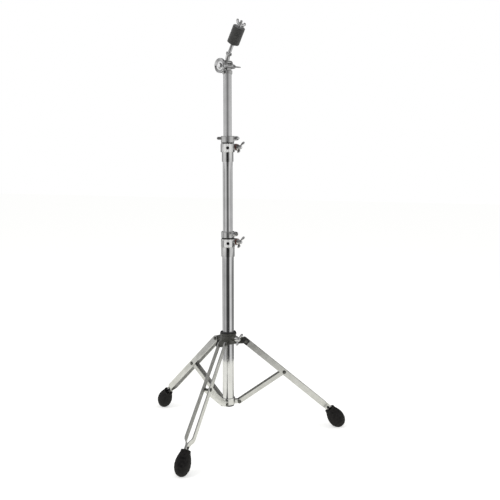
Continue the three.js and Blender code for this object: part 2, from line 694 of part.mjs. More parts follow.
// A clamp collar in the frame of its ears: a sleeve on the outer tube, and above it a
// split clamp round the bush, with a flat face in front and two ears for the bolt
function collar(outerRadius, tubeTop) {
  const bottom = tubeTop - SLEEVE_HEIGHT;
  const top = tubeTop + CLAMP_HEIGHT;
  const sleeveRadius = outerRadius + SLEEVE_WALL;
  const shell = turned([
    [0, bottom], [sleeveRadius, bottom], [sleeveRadius, tubeTop],
    [CLAMP_RADIUS - CLAMP_CHAMFER, tubeTop], [CLAMP_RADIUS, tubeTop + CLAMP_CHAMFER],
    [CLAMP_RADIUS, top - CLAMP_CHAMFER], [CLAMP_RADIUS - CLAMP_CHAMFER, top], [0, top],
  ], TUBE_SIDES);
  const earMiddle = tubeTop + EAR_RISE;
  const earReach = EAR_BOLT_DISTANCE + EAR_RADIUS + OVERRUN;
  const ears = plate(roundBar(0, EAR_BOLT_DISTANCE, EAR_RADIUS), 2 * EAR_HALF_THICKNESS)
    .translate(0, 0, earMiddle);
  const faceMiddle = tubeTop + CLAMP_HEIGHT / 2;
  const towardsFace = THREE.MathUtils.degToRad(FACE_DIRECTION - EAR_DIRECTION);
  const face = plate(roundedRectangle(FACE_WIDTH / 2, FACE_HEIGHT / 2, FACE_CORNER), FACE_REACH)
    .translate(0, FACE_REACH / 2, faceMiddle)
    .rotateZ(towardsFace - quarterTurn);
  const recess = rod(
    COLLAR_SCREW_HEAD_RADIUS + SLIP_GAP, FACE_REACH - COLLAR_SCREW_RECESS, FACE_REACH + OVERRUN,
    SMALL_SIDES,
  );
  const screwHole = rod(COLLAR_SCREW_RADIUS + SLIP_GAP, 0, FACE_REACH + OVERRUN, SMALL_SIDES);
  const tools = [recess, screwHole].map((tool) => (
    tool.rotateY(quarterTurn).translate(0, 0, faceMiddle).rotateZ(towardsFace)
  ));
  const ledge = tubeTop + SEAT_GAP;
  return cut(
    join(shell, ears, face),
    rod(outerRadius + SLIP_GAP, bottom - OVERRUN, ledge, TUBE_SIDES),
    rod(bushRadiusIn(outerRadius) + SLIP_GAP, bottom, top + OVERRUN, TUBE_SIDES),
    box([0, -CLAMP_SPLIT / 2, ledge], [earReach, CLAMP_SPLIT / 2, top + OVERRUN]),
    crossHole(CLAMP_BOLT_RADIUS + SLIP_GAP, EAR_BOLT_DISTANCE, earMiddle, EAR_HALF_THICKNESS),
    ...tools,
  );
}

function bushRadiusIn(outerRadius) {
  return outerRadius - BUSH_STEP;
}

function collarBush(outerRadius, innerRadius, tubeTop) {
  const bore = innerRadius + SLIP_GAP;
  const radius = bushRadiusIn(outerRadius);
  const bottom = tubeTop + SEAT_GAP;
  const flangeBottom = tubeTop + CLAMP_HEIGHT + SEAT_GAP;
  const top = flangeBottom + BUSH_FLANGE_THICKNESS;
  return turned([
    [bore, bottom], [radius, bottom], [radius, flangeBottom], [BUSH_FLANGE_RADIUS, flangeBottom],
    [BUSH_FLANGE_RADIUS, top], [bore, top], [bore, bottom],
  ], TUBE_SIDES);
}

// The black screw in the clamp's face: its shank ends just short of the bush
function collarScrew(outerRadius, tubeTop) {
  const seat = FACE_REACH - COLLAR_SCREW_RECESS + SEAT_GAP;
  const top = seat + COLLAR_SCREW_HEAD_HEIGHT;
  const tip = bushRadiusIn(outerRadius) + SEAT_GAP;
  const body = turned([
    [0, tip], [COLLAR_SCREW_RADIUS, tip], [COLLAR_SCREW_RADIUS, seat],
    [COLLAR_SCREW_HEAD_RADIUS, seat], [COLLAR_SCREW_HEAD_RADIUS, top], [0, top],
  ], SMALL_SIDES);
  const socket = rod(HEX_SOCKET_RADIUS, top - HEX_SOCKET_DEPTH, top + OVERRUN, HEX_SIDES);
  return cut(body, socket).rotateY(quarterTurn).translate(0, 0, tubeTop + CLAMP_HEIGHT / 2);
}

function clampBolt() {
  const half = CLAMP_HEAD_SIDE / 2;
  const headFace = EAR_HALF_THICKNESS + SEAT_GAP;
  const nutFoot = EAR_HALF_THICKNESS + 2 * SEAT_GAP + WASHER_THICKNESS;
  const tip = nutFoot + CLAMP_WING.hubHeight + CLAMP_BOLT_STANDOUT;
  return join(
    box([-half, -half, -headFace - CLAMP_HEAD_HEIGHT], [half, half, -headFace]),
    rod(CLAMP_BOLT_RADIUS, -headFace - CLAMP_HEAD_HEIGHT / 2, tip, SMALL_SIDES),
  ).rotateX(quarterTurn);
}

function clampWasher() {
  const bore = CLAMP_BOLT_RADIUS + SLIP_GAP;
  return tube(WASHER_RADIUS, bore, 0, WASHER_THICKNESS, SMALL_SIDES).rotateX(quarterTurn);
}

function clampSet(prefix, outerRadius, innerRadius, tubeTop) {
  const ears = [
    piece(`${prefix}_collar`, 'castChrome', collar(outerRadius, tubeTop)),
    piece(`${prefix}_clamp_bolt`, 'chrome', clampBolt()),
    piece(`${prefix}_washer`, 'fibre', clampWasher()),
    piece(
      `${prefix}_wing_nut`, 'chrome',
      wingNut(CLAMP_WING, CLAMP_WING_TURN, CLAMP_BOLT_RADIUS).rotateX(quarterTurn),
    ),
  ];
  const [, bolt, washer, nut] = ears;
  const boltHeight = tubeTop + EAR_RISE;
  const washerFace = EAR_HALF_THICKNESS + SEAT_GAP;
  bolt.position.set(EAR_BOLT_DISTANCE, 0, boltHeight);
  washer.position.set(EAR_BOLT_DISTANCE, -washerFace, boltHeight);
  nut.position.set(EAR_BOLT_DISTANCE, -washerFace - WASHER_THICKNESS - SEAT_GAP, boltHeight);
  return [
    spoke(EAR_DIRECTION, ...ears),
    piece(`${prefix}_bush`, 'nylon', collarBush(outerRadius, innerRadius, tubeTop)),
    spoke(FACE_DIRECTION, piece(`${prefix}_collar_screw`, 'blackSteel', collarScrew(outerRadius, tubeTop))),
  ];
}

// A memory lock in the frame of its ears: a split ring that grips the sliding tube
function memoryLock(innerRadius, bottom) {
  const top = bottom + LOCK_HEIGHT;
  const ring = turned([
    [0, bottom], [LOCK_RADIUS - LOCK_CHAMFER, bottom], [LOCK_RADIUS, bottom + LOCK_CHAMFER],
    [LOCK_RADIUS, top - LOCK_CHAMFER], [LOCK_RADIUS - LOCK_CHAMFER, top], [0, top],
  ], TUBE_SIDES);
  const earRadius = LOCK_EAR_HEIGHT / 2;
  const earMiddle = top - earRadius;
  const ears = plate(roundBar(0, LOCK_EAR_REACH - earRadius, earRadius), 2 * LOCK_EAR_HALF_THICKNESS)
    .translate(0, 0, earMiddle);
  const lugRadius = LOCK_LUG_HEIGHT / 2;
  const lug = plate(roundBar(0, LOCK_LUG_REACH - lugRadius, lugRadius), LOCK_LUG_WIDTH)
    .translate(0, 0, earMiddle)
    .rotateZ(THREE.MathUtils.degToRad(LOCK_LUG_TURN));
  return cut(
    join(ring, ears, lug),
    rod(innerRadius + SLIP_GAP, bottom - OVERRUN, top + OVERRUN, TUBE_SIDES),
    box([0, -LOCK_SPLIT / 2, bottom - OVERRUN], [LOCK_EAR_REACH + OVERRUN, LOCK_SPLIT / 2, top + OVERRUN]),
    crossHole(LOCK_SCREW_RADIUS + SLIP_GAP, LOCK_SCREW_DISTANCE, earMiddle, LOCK_EAR_HALF_THICKNESS),
  );
}

// The lock's key screw: a square head on a round collar, and a shank through both ears
function lockScrew() {
  const seat = LOCK_EAR_HALF_THICKNESS + SEAT_GAP;
  const collarTop = seat + LOCK_SCREW_COLLAR_HEIGHT;
  const headRadius = LOCK_SCREW_HEAD_SIDE / Math.SQRT2;
  return join(
    rod(LOCK_SCREW_RADIUS, -LOCK_EAR_HALF_THICKNESS, collarTop, SMALL_SIDES),
    rod(LOCK_SCREW_COLLAR_RADIUS, seat, collarTop, SMALL_SIDES),
    rod(headRadius, seat + LOCK_SCREW_COLLAR_HEIGHT / 2, collarTop + LOCK_SCREW_HEAD_HEIGHT, SQUARE_SIDES),
  ).rotateX(quarterTurn);
}

function lockSet(prefix, innerRadius, collarTubeTop, direction) {
  const bottom = collarTubeTop + CLAMP_HEIGHT + BUSH_FLANGE_THICKNESS + 2 * SEAT_GAP;
  const screw = piece(`${prefix}_lock_screw`, 'chrome', lockScrew());
  screw.position.set(LOCK_SCREW_DISTANCE, 0, bottom + LOCK_HEIGHT - LOCK_EAR_HEIGHT / 2);
  const ring = piece(`${prefix}_memory_lock`, 'castChrome', memoryLock(innerRadius, bottom));
  return spoke(direction, ring, screw);
}

// Tilter, in a frame on its tilt axis: X towards the lean, Y along the tilt axis
function tilterBase() {
  const tubeTop = -TILT_AXIS_RISE;
  const skirt = tubeTop - TILTER_CAP_SKIRT;
  const crown = tubeTop + TILTER_CAP_CROWN;
  const cap = turned([
    [0, skirt], [TILTER_CAP_RADIUS, skirt], [TILTER_CAP_RADIUS, crown - TILTER_CAP_CHAMFER],
    [TILTER_CAP_RADIUS - TILTER_CAP_CHAMFER, crown], [0, crown],
  ], CAST_SIDES);
  const eye = rod(TILTER_EYE_RADIUS, -TILTER_EYE_HALF_WIDTH, TILTER_EYE_HALF_WIDTH, CAST_SIDES)
    .rotateX(quarterTurn);
  const neck = box(
    [-TILTER_NECK_DEPTH / 2, -TILTER_EYE_HALF_WIDTH, crown - TILTER_CAP_CHAMFER],
    [TILTER_NECK_DEPTH / 2, TILTER_EYE_HALF_WIDTH, 0],
  );
  return cut(
    join(cap, neck, eye),
    rod(TOP_TUBE_RADIUS + SLIP_GAP, skirt - OVERRUN, tubeTop + SEAT_GAP, TUBE_SIDES),
    crossHole(TILTER_SCREW_RADIUS + SLIP_GAP, 0, 0, TILTER_EYE_HALF_WIDTH),
  );
}

const cheekInside = TILTER_EYE_HALF_WIDTH + SEAT_GAP;
const cheekOutside = cheekInside + ARM_CHEEK_THICKNESS;

function rodFoot() {
  return [ROD_FOOT_OFFSET, 0, ROD_FOOT_RISE];
}

// The forked arm: two cheeks over the eye, bridged above it, and a neck that bends into
// the lean of the rod
function tilterArm() {
  const yoke = plate(roundBar(0, ARM_STRAIGHT_RISE, TILTER_EYE_RADIUS), 2 * cheekOutside)
    .rotateY(-quarterTurn);
  const slot = box(
    [-TILTER_EYE_RADIUS - OVERRUN, -cheekInside, -TILTER_EYE_RADIUS - OVERRUN],
    [TILTER_EYE_RADIUS + OVERRUN, cheekInside, ARM_SLOT_RADIUS],
  );
  const neckStart = new THREE.Vector3(0, 0, ARM_SLOT_RADIUS + SEAT_GAP);
  const bend = new THREE.Vector3(0, 0, ROD_FOOT_RISE - ROD_FOOT_OFFSET / Math.tan(rodLean));
  const path = new THREE.QuadraticBezierCurve3(neckStart, bend, new THREE.Vector3(...rodFoot()));
  const section = new THREE.Shape().absarc(0, 0, ARM_NECK_RADIUS, 0, 2 * Math.PI, false);
  const neck = new THREE.ExtrudeGeometry(section, {
    steps: ARM_NECK_STEPS,
    curveSegments: ARM_NECK_SIDES,
    extrudePath: path,
  });
  const socket = rod(ROD_THREAD_RADIUS + SLIP_GAP, -ROD_SOCKET_DEPTH - SEAT_GAP, OVERRUN, SMALL_SIDES)
    .rotateY(rodLean)
    .translate(...rodFoot());
  return cut(
    join(cut(yoke, slot), neck),
    socket,
    crossHole(TILTER_SCREW_RADIUS + SLIP_GAP, 0, 0, cheekOutside),
  );
}

function tilterDisc() {
  const bottom = cheekOutside + SEAT_GAP;
  const inner = bottom + DISC_BOSS_LENGTH;
  const outer = inner + DISC_THICKNESS;
  const bore = TILTER_SCREW_RADIUS + SLIP_GAP;
  return turned([
    [bore, bottom], [DISC_BOSS_RADIUS, bottom], [DISC_BOSS_RADIUS, inner],
    [DISC_RADIUS - DISC_CHAMFER, inner], [DISC_RADIUS, inner + DISC_CHAMFER],
    [DISC_RADIUS, outer - DISC_CHAMFER], [DISC_RADIUS - DISC_CHAMFER, outer], [bore, outer],
    [bore, bottom],
  ], TUBE_SIDES).rotateX(quarterTurn);
}

function tilterScrew() {
  const head = cheekOutside + DISC_BOSS_LENGTH + DISC_THICKNESS + 2 * SEAT_GAP;
  const tip = cheekOutside + SEAT_GAP + CLAMP_WING.hubHeight + CLAMP_BOLT_STANDOUT;
  const top = head + TILTER_SCREW_HEAD_HEIGHT;
  const crownRadius = TILTER_SCREW_HEAD_RADIUS * HEAD_CROWN_SHARE;
  return turned([
    [0, -tip], [TILTER_SCREW_RADIUS, -tip], [TILTER_SCREW_RADIUS, head],
    [TILTER_SCREW_HEAD_RADIUS, head], [TILTER_SCREW_HEAD_RADIUS, top - TILTER_SCREW_HEAD_HEIGHT / 2],
    [crownRadius, top], [0, top],
  ], SMALL_SIDES).rotateX(quarterTurn);
}

function cymbalRod() {
  const shankTop = ROD_SHANK_LENGTH;
  const tip = shankTop + ROD_THREAD_LENGTH;
  return turned([
    [0, -ROD_SOCKET_DEPTH], [ROD_THREAD_RADIUS, -ROD_SOCKET_DEPTH], [ROD_THREAD_RADIUS, SEAT_GAP],
    [ROD_RADIUS, SEAT_GAP], [ROD_RADIUS, shankTop], [ROD_THREAD_RADIUS, shankTop],
    [ROD_THREAD_RADIUS, tip - ROD_TIP_CHAMFER], [ROD_THREAD_RADIUS - ROD_TIP_CHAMFER, tip], [0, tip],
  ], SMALL_SIDES);
}

function rodNut() {
  const bottom = 2 * SEAT_GAP;
  const top = bottom + ROD_NUT_THICKNESS;
  return cut(
    rod(ROD_NUT_RADIUS, bottom, top, HEX_SIDES),
    rod(ROD_RADIUS + SLIP_GAP, bottom - OVERRUN, top + OVERRUN, SMALL_SIDES),
  );
}

function cymbalSleeve(bottom, top) {
  const bore = ROD_THREAD_RADIUS + SLIP_GAP;
  const flangeTop = bottom + CYMBAL_SLEEVE_FLANGE_THICKNESS;
  return turned([
    [bore, bottom], [CYMBAL_SLEEVE_FLANGE_RADIUS, bottom], [CYMBAL_SLEEVE_FLANGE_RADIUS, flangeTop],
    [CYMBAL_SLEEVE_RADIUS, flangeTop], [CYMBAL_SLEEVE_RADIUS, top], [bore, top], [bore, bottom],
  ], CAST_SIDES);
}

function felt(bottom, length) {
  const bore = CYMBAL_SLEEVE_RADIUS + SLIP_GAP;
  const top = bottom + length;
  return turned([
    [bore, bottom], [FELT_RADIUS - FELT_ROUND, bottom], [FELT_RADIUS, bottom + FELT_ROUND],
    [FELT_RADIUS, top - FELT_ROUND], [FELT_RADIUS - FELT_ROUND, top], [bore, top], [bore, bottom],
  ], CAST_SIDES);
}

// Everything on the rod, bottom to top, in the rod's frame
function rodGroup() {
  const sleeveBottom = ROD_SHANK_LENGTH + SEAT_GAP;
  const lowerFeltBottom = sleeveBottom + CYMBAL_SLEEVE_FLANGE_THICKNESS + SEAT_GAP;
  const upperFeltBottom = lowerFeltBottom + LOWER_FELT_LENGTH + SEAT_GAP;
  const washerBottom = upperFeltBottom + UPPER_FELT_LENGTH + SEAT_GAP;
  const nutBottom = washerBottom + CYMBAL_WASHER_THICKNESS + SEAT_GAP;
  const group = new THREE.Group();
  group.position.set(...rodFoot());
  group.rotation.y = rodLean;
  group.add(
    piece('cymbal_rod', 'chrome', cymbalRod()),
    piece('rod_nut', 'chrome', rodNut()),
    piece('cymbal_sleeve', 'nylon', cymbalSleeve(sleeveBottom, washerBottom - SEAT_GAP)),
    piece('lower_felt', 'felt', felt(lowerFeltBottom, LOWER_FELT_LENGTH)),
    piece('upper_felt', 'felt', felt(upperFeltBottom, UPPER_FELT_LENGTH)),
    piece(
      'cymbal_washer', 'chrome',
      tube(
        CYMBAL_WASHER_RADIUS, ROD_THREAD_RADIUS + SLIP_GAP, washerBottom,
        washerBottom + CYMBAL_WASHER_THICKNESS, CAST_SIDES,
      ),
    ),
    piece(
      'cymbal_wing_nut', 'chrome',
      wingNut(CYMBAL_WING, CYMBAL_WING_TURN, ROD_THREAD_RADIUS).translate(0, 0, nutBottom),
    ),
  );
  return group;
}

function tilter() {
  const wingFoot = cheekOutside + SEAT_GAP;
  const group = spoke(
    TILT_DIRECTION,
    piece('tilter_base', 'castChrome', tilterBase()),
    piece('tilter_arm', 'castChrome', tilterArm()),
    piece('tilter_disc', 'chrome', tilterDisc()),
    piece('tilter_screw', 'chrome', tilterScrew()),
    piece(
      'tilter_wing_nut', 'chrome',
      wingNut({ ...CLAMP_WING, reach: TILTER_WING_REACH }, TILTER_WING_TURN, TILTER_SCREW_RADIUS)
        .translate(0, 0, wingFoot)
        .rotateX(-quarterTurn),
    ),
    rodGroup(),
  );
  group.position.z = topTubeTop + TILT_AXIS_RISE;
  return group;
}

// The whole stand, moved so that its bounding box is centred over the origin
const stand = new THREE.Group();
stand.add(
  ...baseColumn(),
  ...hubGroup(),
  ...LEG_DIRECTIONS.map((direction, index) => leg(index + 1, direction)),
  ...clampSet('lower', BASE_TUBE_RADIUS, MIDDLE_TUBE_RADIUS, baseTubeTop),
  lockSet('lower', MIDDLE_TUBE_RADIUS, baseTubeTop, LOWER_LOCK_DIRECTION),
  piece(
    'middle_tube', 'chrome',
    tube(
      MIDDLE_TUBE_RADIUS, MIDDLE_TUBE_RADIUS - MIDDLE_TUBE_WALL,
      middleTubeTop - MIDDLE_TUBE_LENGTH, middleTubeTop, TUBE_SIDES,
    ),
  ),
  ...clampSet('upper', MIDDLE_TUBE_RADIUS, TOP_TUBE_RADIUS, middleTubeTop),
  lockSet('upper', TOP_TUBE_RADIUS, middleTubeTop, UPPER_LOCK_DIRECTION),
  piece(
    'top_tube', 'chrome',
    tube(
      TOP_TUBE_RADIUS, TOP_TUBE_RADIUS - TOP_TUBE_WALL,
      topTubeTop - TOP_TUBE_LENGTH, topTubeTop, TUBE_SIDES,
    ),
  ),
  tilter(),
);
stand.updateMatrixWorld(true);
const middle = new THREE.Box3().setFromObject(stand, true).getCenter(new THREE.Vector3());
stand.position.set(-middle.x, -middle.y, 0);

export default stand;
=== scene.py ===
"""Straight cymbal stand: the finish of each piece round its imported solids, and the studio.

Tubes, feet, felts, wing nuts, rivets, washers, nylon parts, the tilter's disc and screw
and the threaded rod are new surfaces, worked out with numpy. Castings, strips, struts and
bolts are copies of their solids with rounded edges. Sizes are in metres.
"""

import json
import math
import bmesh
import bpy
import numpy as np
from bpy.props import FloatProperty, FloatVectorProperty, IntProperty, PointerProperty
from mathutils import Euler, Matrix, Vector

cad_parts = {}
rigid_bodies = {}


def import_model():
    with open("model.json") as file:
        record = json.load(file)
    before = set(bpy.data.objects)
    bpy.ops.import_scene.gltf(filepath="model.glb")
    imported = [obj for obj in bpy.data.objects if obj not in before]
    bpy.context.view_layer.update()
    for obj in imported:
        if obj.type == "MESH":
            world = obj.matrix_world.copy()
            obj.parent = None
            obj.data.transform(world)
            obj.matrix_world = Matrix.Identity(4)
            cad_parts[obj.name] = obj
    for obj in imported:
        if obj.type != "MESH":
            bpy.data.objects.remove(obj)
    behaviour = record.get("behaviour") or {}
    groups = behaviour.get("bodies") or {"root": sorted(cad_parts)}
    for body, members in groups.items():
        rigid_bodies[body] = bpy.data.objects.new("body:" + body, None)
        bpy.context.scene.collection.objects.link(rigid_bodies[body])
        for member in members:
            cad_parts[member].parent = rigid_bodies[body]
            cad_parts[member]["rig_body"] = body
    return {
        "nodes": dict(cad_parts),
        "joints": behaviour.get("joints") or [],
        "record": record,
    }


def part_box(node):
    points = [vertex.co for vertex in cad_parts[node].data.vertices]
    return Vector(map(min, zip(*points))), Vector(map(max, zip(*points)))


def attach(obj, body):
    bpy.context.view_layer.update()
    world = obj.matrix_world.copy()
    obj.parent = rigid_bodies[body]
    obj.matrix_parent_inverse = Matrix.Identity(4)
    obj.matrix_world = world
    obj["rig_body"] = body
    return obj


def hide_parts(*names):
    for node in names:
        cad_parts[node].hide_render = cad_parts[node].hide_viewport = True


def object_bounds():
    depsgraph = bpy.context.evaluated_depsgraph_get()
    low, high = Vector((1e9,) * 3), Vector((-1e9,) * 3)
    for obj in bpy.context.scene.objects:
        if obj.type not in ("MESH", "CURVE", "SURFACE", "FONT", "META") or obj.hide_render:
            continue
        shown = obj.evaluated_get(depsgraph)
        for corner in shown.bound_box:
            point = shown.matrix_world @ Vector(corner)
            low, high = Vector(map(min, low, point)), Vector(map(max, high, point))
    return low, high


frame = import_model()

bl_info = {
    "name": "Straight Cymbal Stand",
    "version": (1, 0, 0),
    "blender": (4, 5, 0),
    "location": "View3D > Sidebar > Cymbal Stand",
    "description": "Makes the surfaces and finishes of a folding cymbal stand",
    "category": "Add Mesh",
}

CAD_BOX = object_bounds()
JOINTS = {joint["name"]: joint for joint in frame["joints"]}
UP = np.array([0.0, 0.0, 1.0])
LEG_NUMBERS = (1, 2, 3)
# Direction from the stand to the camera
CAMERA_SIDE = math.radians(-69)

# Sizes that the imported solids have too. The tilter's seat and its disc's face are measured
# from the tilt joint's place, and the nut joint's rise from the rod's foot.
SEAT_GAP = 0.0003
BOLT_BORE = 0.0032
EAR_HALF_THICKNESS = 0.0065
FIBRE_WASHER_THICKNESS = 0.0015
TILTER_SEAT = 0.0111
TILTER_DISC_FACE = 0.0261
NUT_JOINT_RISE = 0.085
SLEEVE_FLANGE_THICKNESS = 0.0018
STEEL_WASHER_THICKNESS = 0.0012

# Sockets of a node that mixes colours
MIX_SHARE, MIX_FIRST, MIX_SECOND, MIX_RESULT = 0, 6, 7, 2


def srgb(code):
    """Linear RGBA of an opaque sRGB hex code such as #A0B1C2."""
    channels = np.array([int(code[place:place + 2], 16) for place in (1, 3, 5)]) / 255
    low = channels / 12.92
    high = ((channels + 0.055) / 1.055) ** 2.4
    return (*np.where(channels <= 0.04045, low, high).tolist(), 1.0)


def per_metre(millimetres):
    """Texture scale of a pattern that repeats about every so many millimetres."""
    return 1000 / millimetres


# Sizes and colours that a user would change


class TubeSettings(bpy.types.PropertyGroup):
    """The walls and ends of the three tubes"""

    base_wall: FloatProperty(
        name="Base wall", description="Wall of the base tube", default=0.0016, unit="LENGTH"
    )
    middle_wall: FloatProperty(
        name="Middle wall", description="Wall of the middle tube", default=0.0013, unit="LENGTH"
    )
    top_wall: FloatProperty(
        name="Top wall", description="Wall of the top tube", default=0.0012, unit="LENGTH"
    )
    end_round: FloatProperty(
        name="End rounding", description="Rounding of the cut ends", default=0.0004, unit="LENGTH"
    )
    sides: IntProperty(name="Sides", description="Faces round each tube", default=96, min=12)


class EdgeSettings(bpy.types.PropertyGroup):
    """The roundings of softened edges"""

    casting: FloatProperty(
        name="Casting edge", description="Edge rounding of the castings", default=0.0006,
        unit="LENGTH",
    )
    strip: FloatProperty(
        name="Strip edge", description="Edge rounding of strips and struts", default=0.0004,
        unit="LENGTH",
    )
    small: FloatProperty(
        name="Small edge", description="Edge rounding of small hardware", default=0.0003,
        unit="LENGTH",
    )
    steps: IntProperty(name="Edge steps", description="Faces across each rounding", default=2, min=1)


class FootSettings(bpy.types.PropertyGroup):
    """How the feet sit on the legs, and their shape"""

    leg_angle: FloatProperty(
        name="Leg angle", description="Slope of the open leg", default=math.radians(40.5),
        subtype="ANGLE",
    )
    bend: FloatProperty(
        name="Bend", description="Turn of the foot down from the leg", default=math.radians(14),
        subtype="ANGLE",
    )
    distance: FloatProperty(
        name="Distance", description="From the leg's pivot to the foot's neck", default=0.292,
        unit="LENGTH",
    )
    length: FloatProperty(
        name="Length", description="Length of the foot", default=0.0596, unit="LENGTH"
    )
    radius: FloatProperty(
        name="Radius", description="Largest radius of the foot", default=0.0211, unit="LENGTH"
    )
    width_share: FloatProperty(
        name="Width share", description="Width of the foot as a share of its depth", default=0.86,
        subtype="FACTOR", min=0, max=1,
    )
    rib_depth: FloatProperty(
        name="Rib depth", description="Depth of the grooves round the foot", default=0.00035,
        unit="LENGTH",
    )
    ribs: IntProperty(name="Ribs", description="Grooves round the foot", default=7, min=0)


class WingSettings(bpy.types.PropertyGroup):
    """How far the wing nuts reach, and how they stand when tight"""

    clamp_reach: FloatProperty(
        name="Clamp wing reach", description="From the bolt's axis to a clamp wing's tip",
        default=0.0165, unit="LENGTH",
    )
    tilter_reach: FloatProperty(
        name="Tilter wing reach", description="From the tilt axis to the tilter wing's tip",
        default=0.02, unit="LENGTH",
    )
    cymbal_reach: FloatProperty(
        name="Cymbal wing reach", description="From the rod's axis to a cymbal wing's tip",
        default=0.0144, unit="LENGTH",
    )
    clamp_turn: FloatProperty(
        name="Clamp wing turn", description="Turn of the wings from level", default=math.radians(55),
        subtype="ANGLE",
    )
    tilter_turn: FloatProperty(
        name="Tilter wing turn", description="Turn of the tilter's wings from level",
        default=math.radians(8), subtype="ANGLE",
    )
    cymbal_turn: FloatProperty(
        name="Cymbal wing turn", description="Turn of the top wings from the lean's plane",
        default=math.radians(17), subtype="ANGLE",
    )


class RodSettings(bpy.types.PropertyGroup):
    """The cymbal rod's shank and thread"""

    shank_radius: FloatProperty(
        name="Shank radius", description="Radius of the plain shank", default=0.004, unit="LENGTH"
    )
    shank_length: FloatProperty(
        name="Shank length", description="Length of the plain shank", default=0.028, unit="LENGTH"
    )
    thread_radius: FloatProperty(
        name="Thread radius", description="Outer radius of the thread", default=0.003, unit="LENGTH"
    )
    thread_length: FloatProperty(
        name="Thread length", description="Length of the thread", default=0.0605, unit="LENGTH"
    )
    pitch: FloatProperty(name="Pitch", description="Rise of one turn", default=0.001, unit="LENGTH")
    thread_depth: FloatProperty(
        name="Thread depth", description="Depth of the thread", default=0.00045, unit="LENGTH"
    )


class FeltSettings(bpy.types.PropertyGroup):
    """The two felts"""

    radius: FloatProperty(name="Radius", description="Outer radius", default=0.015, unit="LENGTH")
    bore: FloatProperty(name="Bore", description="Radius of the hole", default=0.0051, unit="LENGTH")
    edge: FloatProperty(name="Edge", description="Rounding of the edges", default=0.0016, unit="LENGTH")
    fuzz: FloatProperty(
        name="Unevenness", description="How far the pressed wall wanders", default=0.00022,
        unit="LENGTH",
    )
    lower_length: FloatProperty(
        name="Lower length", description="Length of the lower felt", default=0.025, unit="LENGTH"
    )
    upper_length: FloatProperty(
        name="Upper length", description="Length of the upper felt", default=0.017, unit="LENGTH"
    )


class StudioSettings(bpy.types.PropertyGroup):
    """The camera, the floor and the lamps"""

    camera_place: FloatVectorProperty(
        name="Camera place", description="Where the camera stands", default=(0.7212, -1.7964, 0.7203),
        subtype="TRANSLATION",
    )
    camera_turn: FloatVectorProperty(
        name="Camera turn", description="Tilt, roll and pan of the camera",
        default=(math.radians(82.839), 0.0, math.radians(19.547)), subtype="EULER",
    )
    lens: FloatProperty(name="Lens", description="Focal length in millimetres", default=58.943)
    floor_colour: FloatVectorProperty(
        name="Floor colour", description="Colour of the floor and backdrop", size=3,
        default=srgb("#F2F2F0")[:3], subtype="COLOR",
    )
    floor_lift: FloatProperty(
        name="Floor lift", description="Added brightness of the floor where it is seen", default=0.5
    )
    floor_gleam: FloatProperty(
        name="Floor gleam", description="Added brightness of the floor in the chrome", default=0.36
    )
    ambient: FloatProperty(
        name="Room light", description="Strength of the even light from all round", default=0.55
    )
    key_power: FloatProperty(
        name="Key lamp", description="Power of the key lamp", default=18.0, unit="POWER"
    )
    fill_power: FloatProperty(
        name="Fill lamp", description="Power of the fill lamp", default=9.0, unit="POWER"
    )


# Materials, each named for what the real one is


def add_node(tree, kind, values=None, links=None, **settings):
    """Adds a node with its settings, its input values and the sockets that feed it."""
    node = tree.nodes.new(kind)
    for name, value in settings.items():
        setattr(node, name, value)
    for socket, value in (values or {}).items():
        node.inputs[socket].default_value = value
    for socket, source in (links or {}).items():
        tree.links.new(source, node.inputs[socket])
    return node


def new_material(name):
    """A material with nodes, and its node tree."""
    material = bpy.data.materials.new(name)
    material.use_nodes = True
    return material, material.node_tree


def mottling(tree, pattern, kind="ShaderNodeTexNoise"):
    """Strength of a pattern with these input values, at each place of the piece itself."""
    place = add_node(tree, "ShaderNodeTexCoord").outputs["Object"]
    return add_node(tree, kind, values=pattern, links={"Vector": place}).outputs[0]


def new_finish(name, pattern, tones, spread, gloss, metallic=0.0, kind="ShaderNodeTexNoise"):
    """A material with one Principled shader, mottled by a pattern.

    Where the pattern goes from the spread's low value to its high one, the colour goes
    from the dark tone to the light one. The roughness goes from the gloss's first value
    to its second.
    """
    material, tree = new_material(name)
    shader = tree.nodes["Principled BSDF"]
    shader.inputs["Metallic"].default_value = metallic
    strength = mottling(tree, pattern, kind)
    ramp = add_node(tree, "ShaderNodeValToRGB", links={"Fac": strength})
    for element, position, tone in zip(ramp.color_ramp.elements, spread, tones):
        element.position = position
        element.color = srgb(tone)
    tree.links.new(ramp.outputs["Color"], shader.inputs["Base Color"])
    rough = add_node(
        tree, "ShaderNodeMapRange", values={"To Min": gloss[0], "To Max": gloss[1]},
        links={"Value": strength},
    )
    tree.links.new(rough.outputs["Result"], shader.inputs["Roughness"])
    return material


def set_shader(material, values):
    """Sets input values of a material's shader."""
    for socket, value in values.items():
        material.node_tree.nodes["Principled BSDF"].inputs[socket].default_value = value


def raise_surface(material, pattern, strength, height):
    """Bumps a material's surface by a pattern, to a height in metres."""
    tree = material.node_tree
    bump = add_node(
        tree, "ShaderNodeBump", values={"Strength": strength, "Distance": height},
        links={"Height": mottling(tree, pattern)},
    )
    tree.links.new(bump.outputs["Normal"], tree.nodes["Principled BSDF"].inputs["Normal"])


def bright_chrome_plate():
    """Chrome plate on polished steel: tubes, rod, disc, wing nuts, bolts and steel washer."""
    # A hard mirror with faint handling smudges, about 30 mm across
    smudges = {"Scale": per_metre(30), "Detail": 4.0, "Roughness": 0.6}
    return new_finish(
        "bright_chrome_plate", smudges, ("#D3D3D3", "#E3E3E3"), (0.35, 0.7), (0.045, 0.12),
        metallic=1.0,
    )


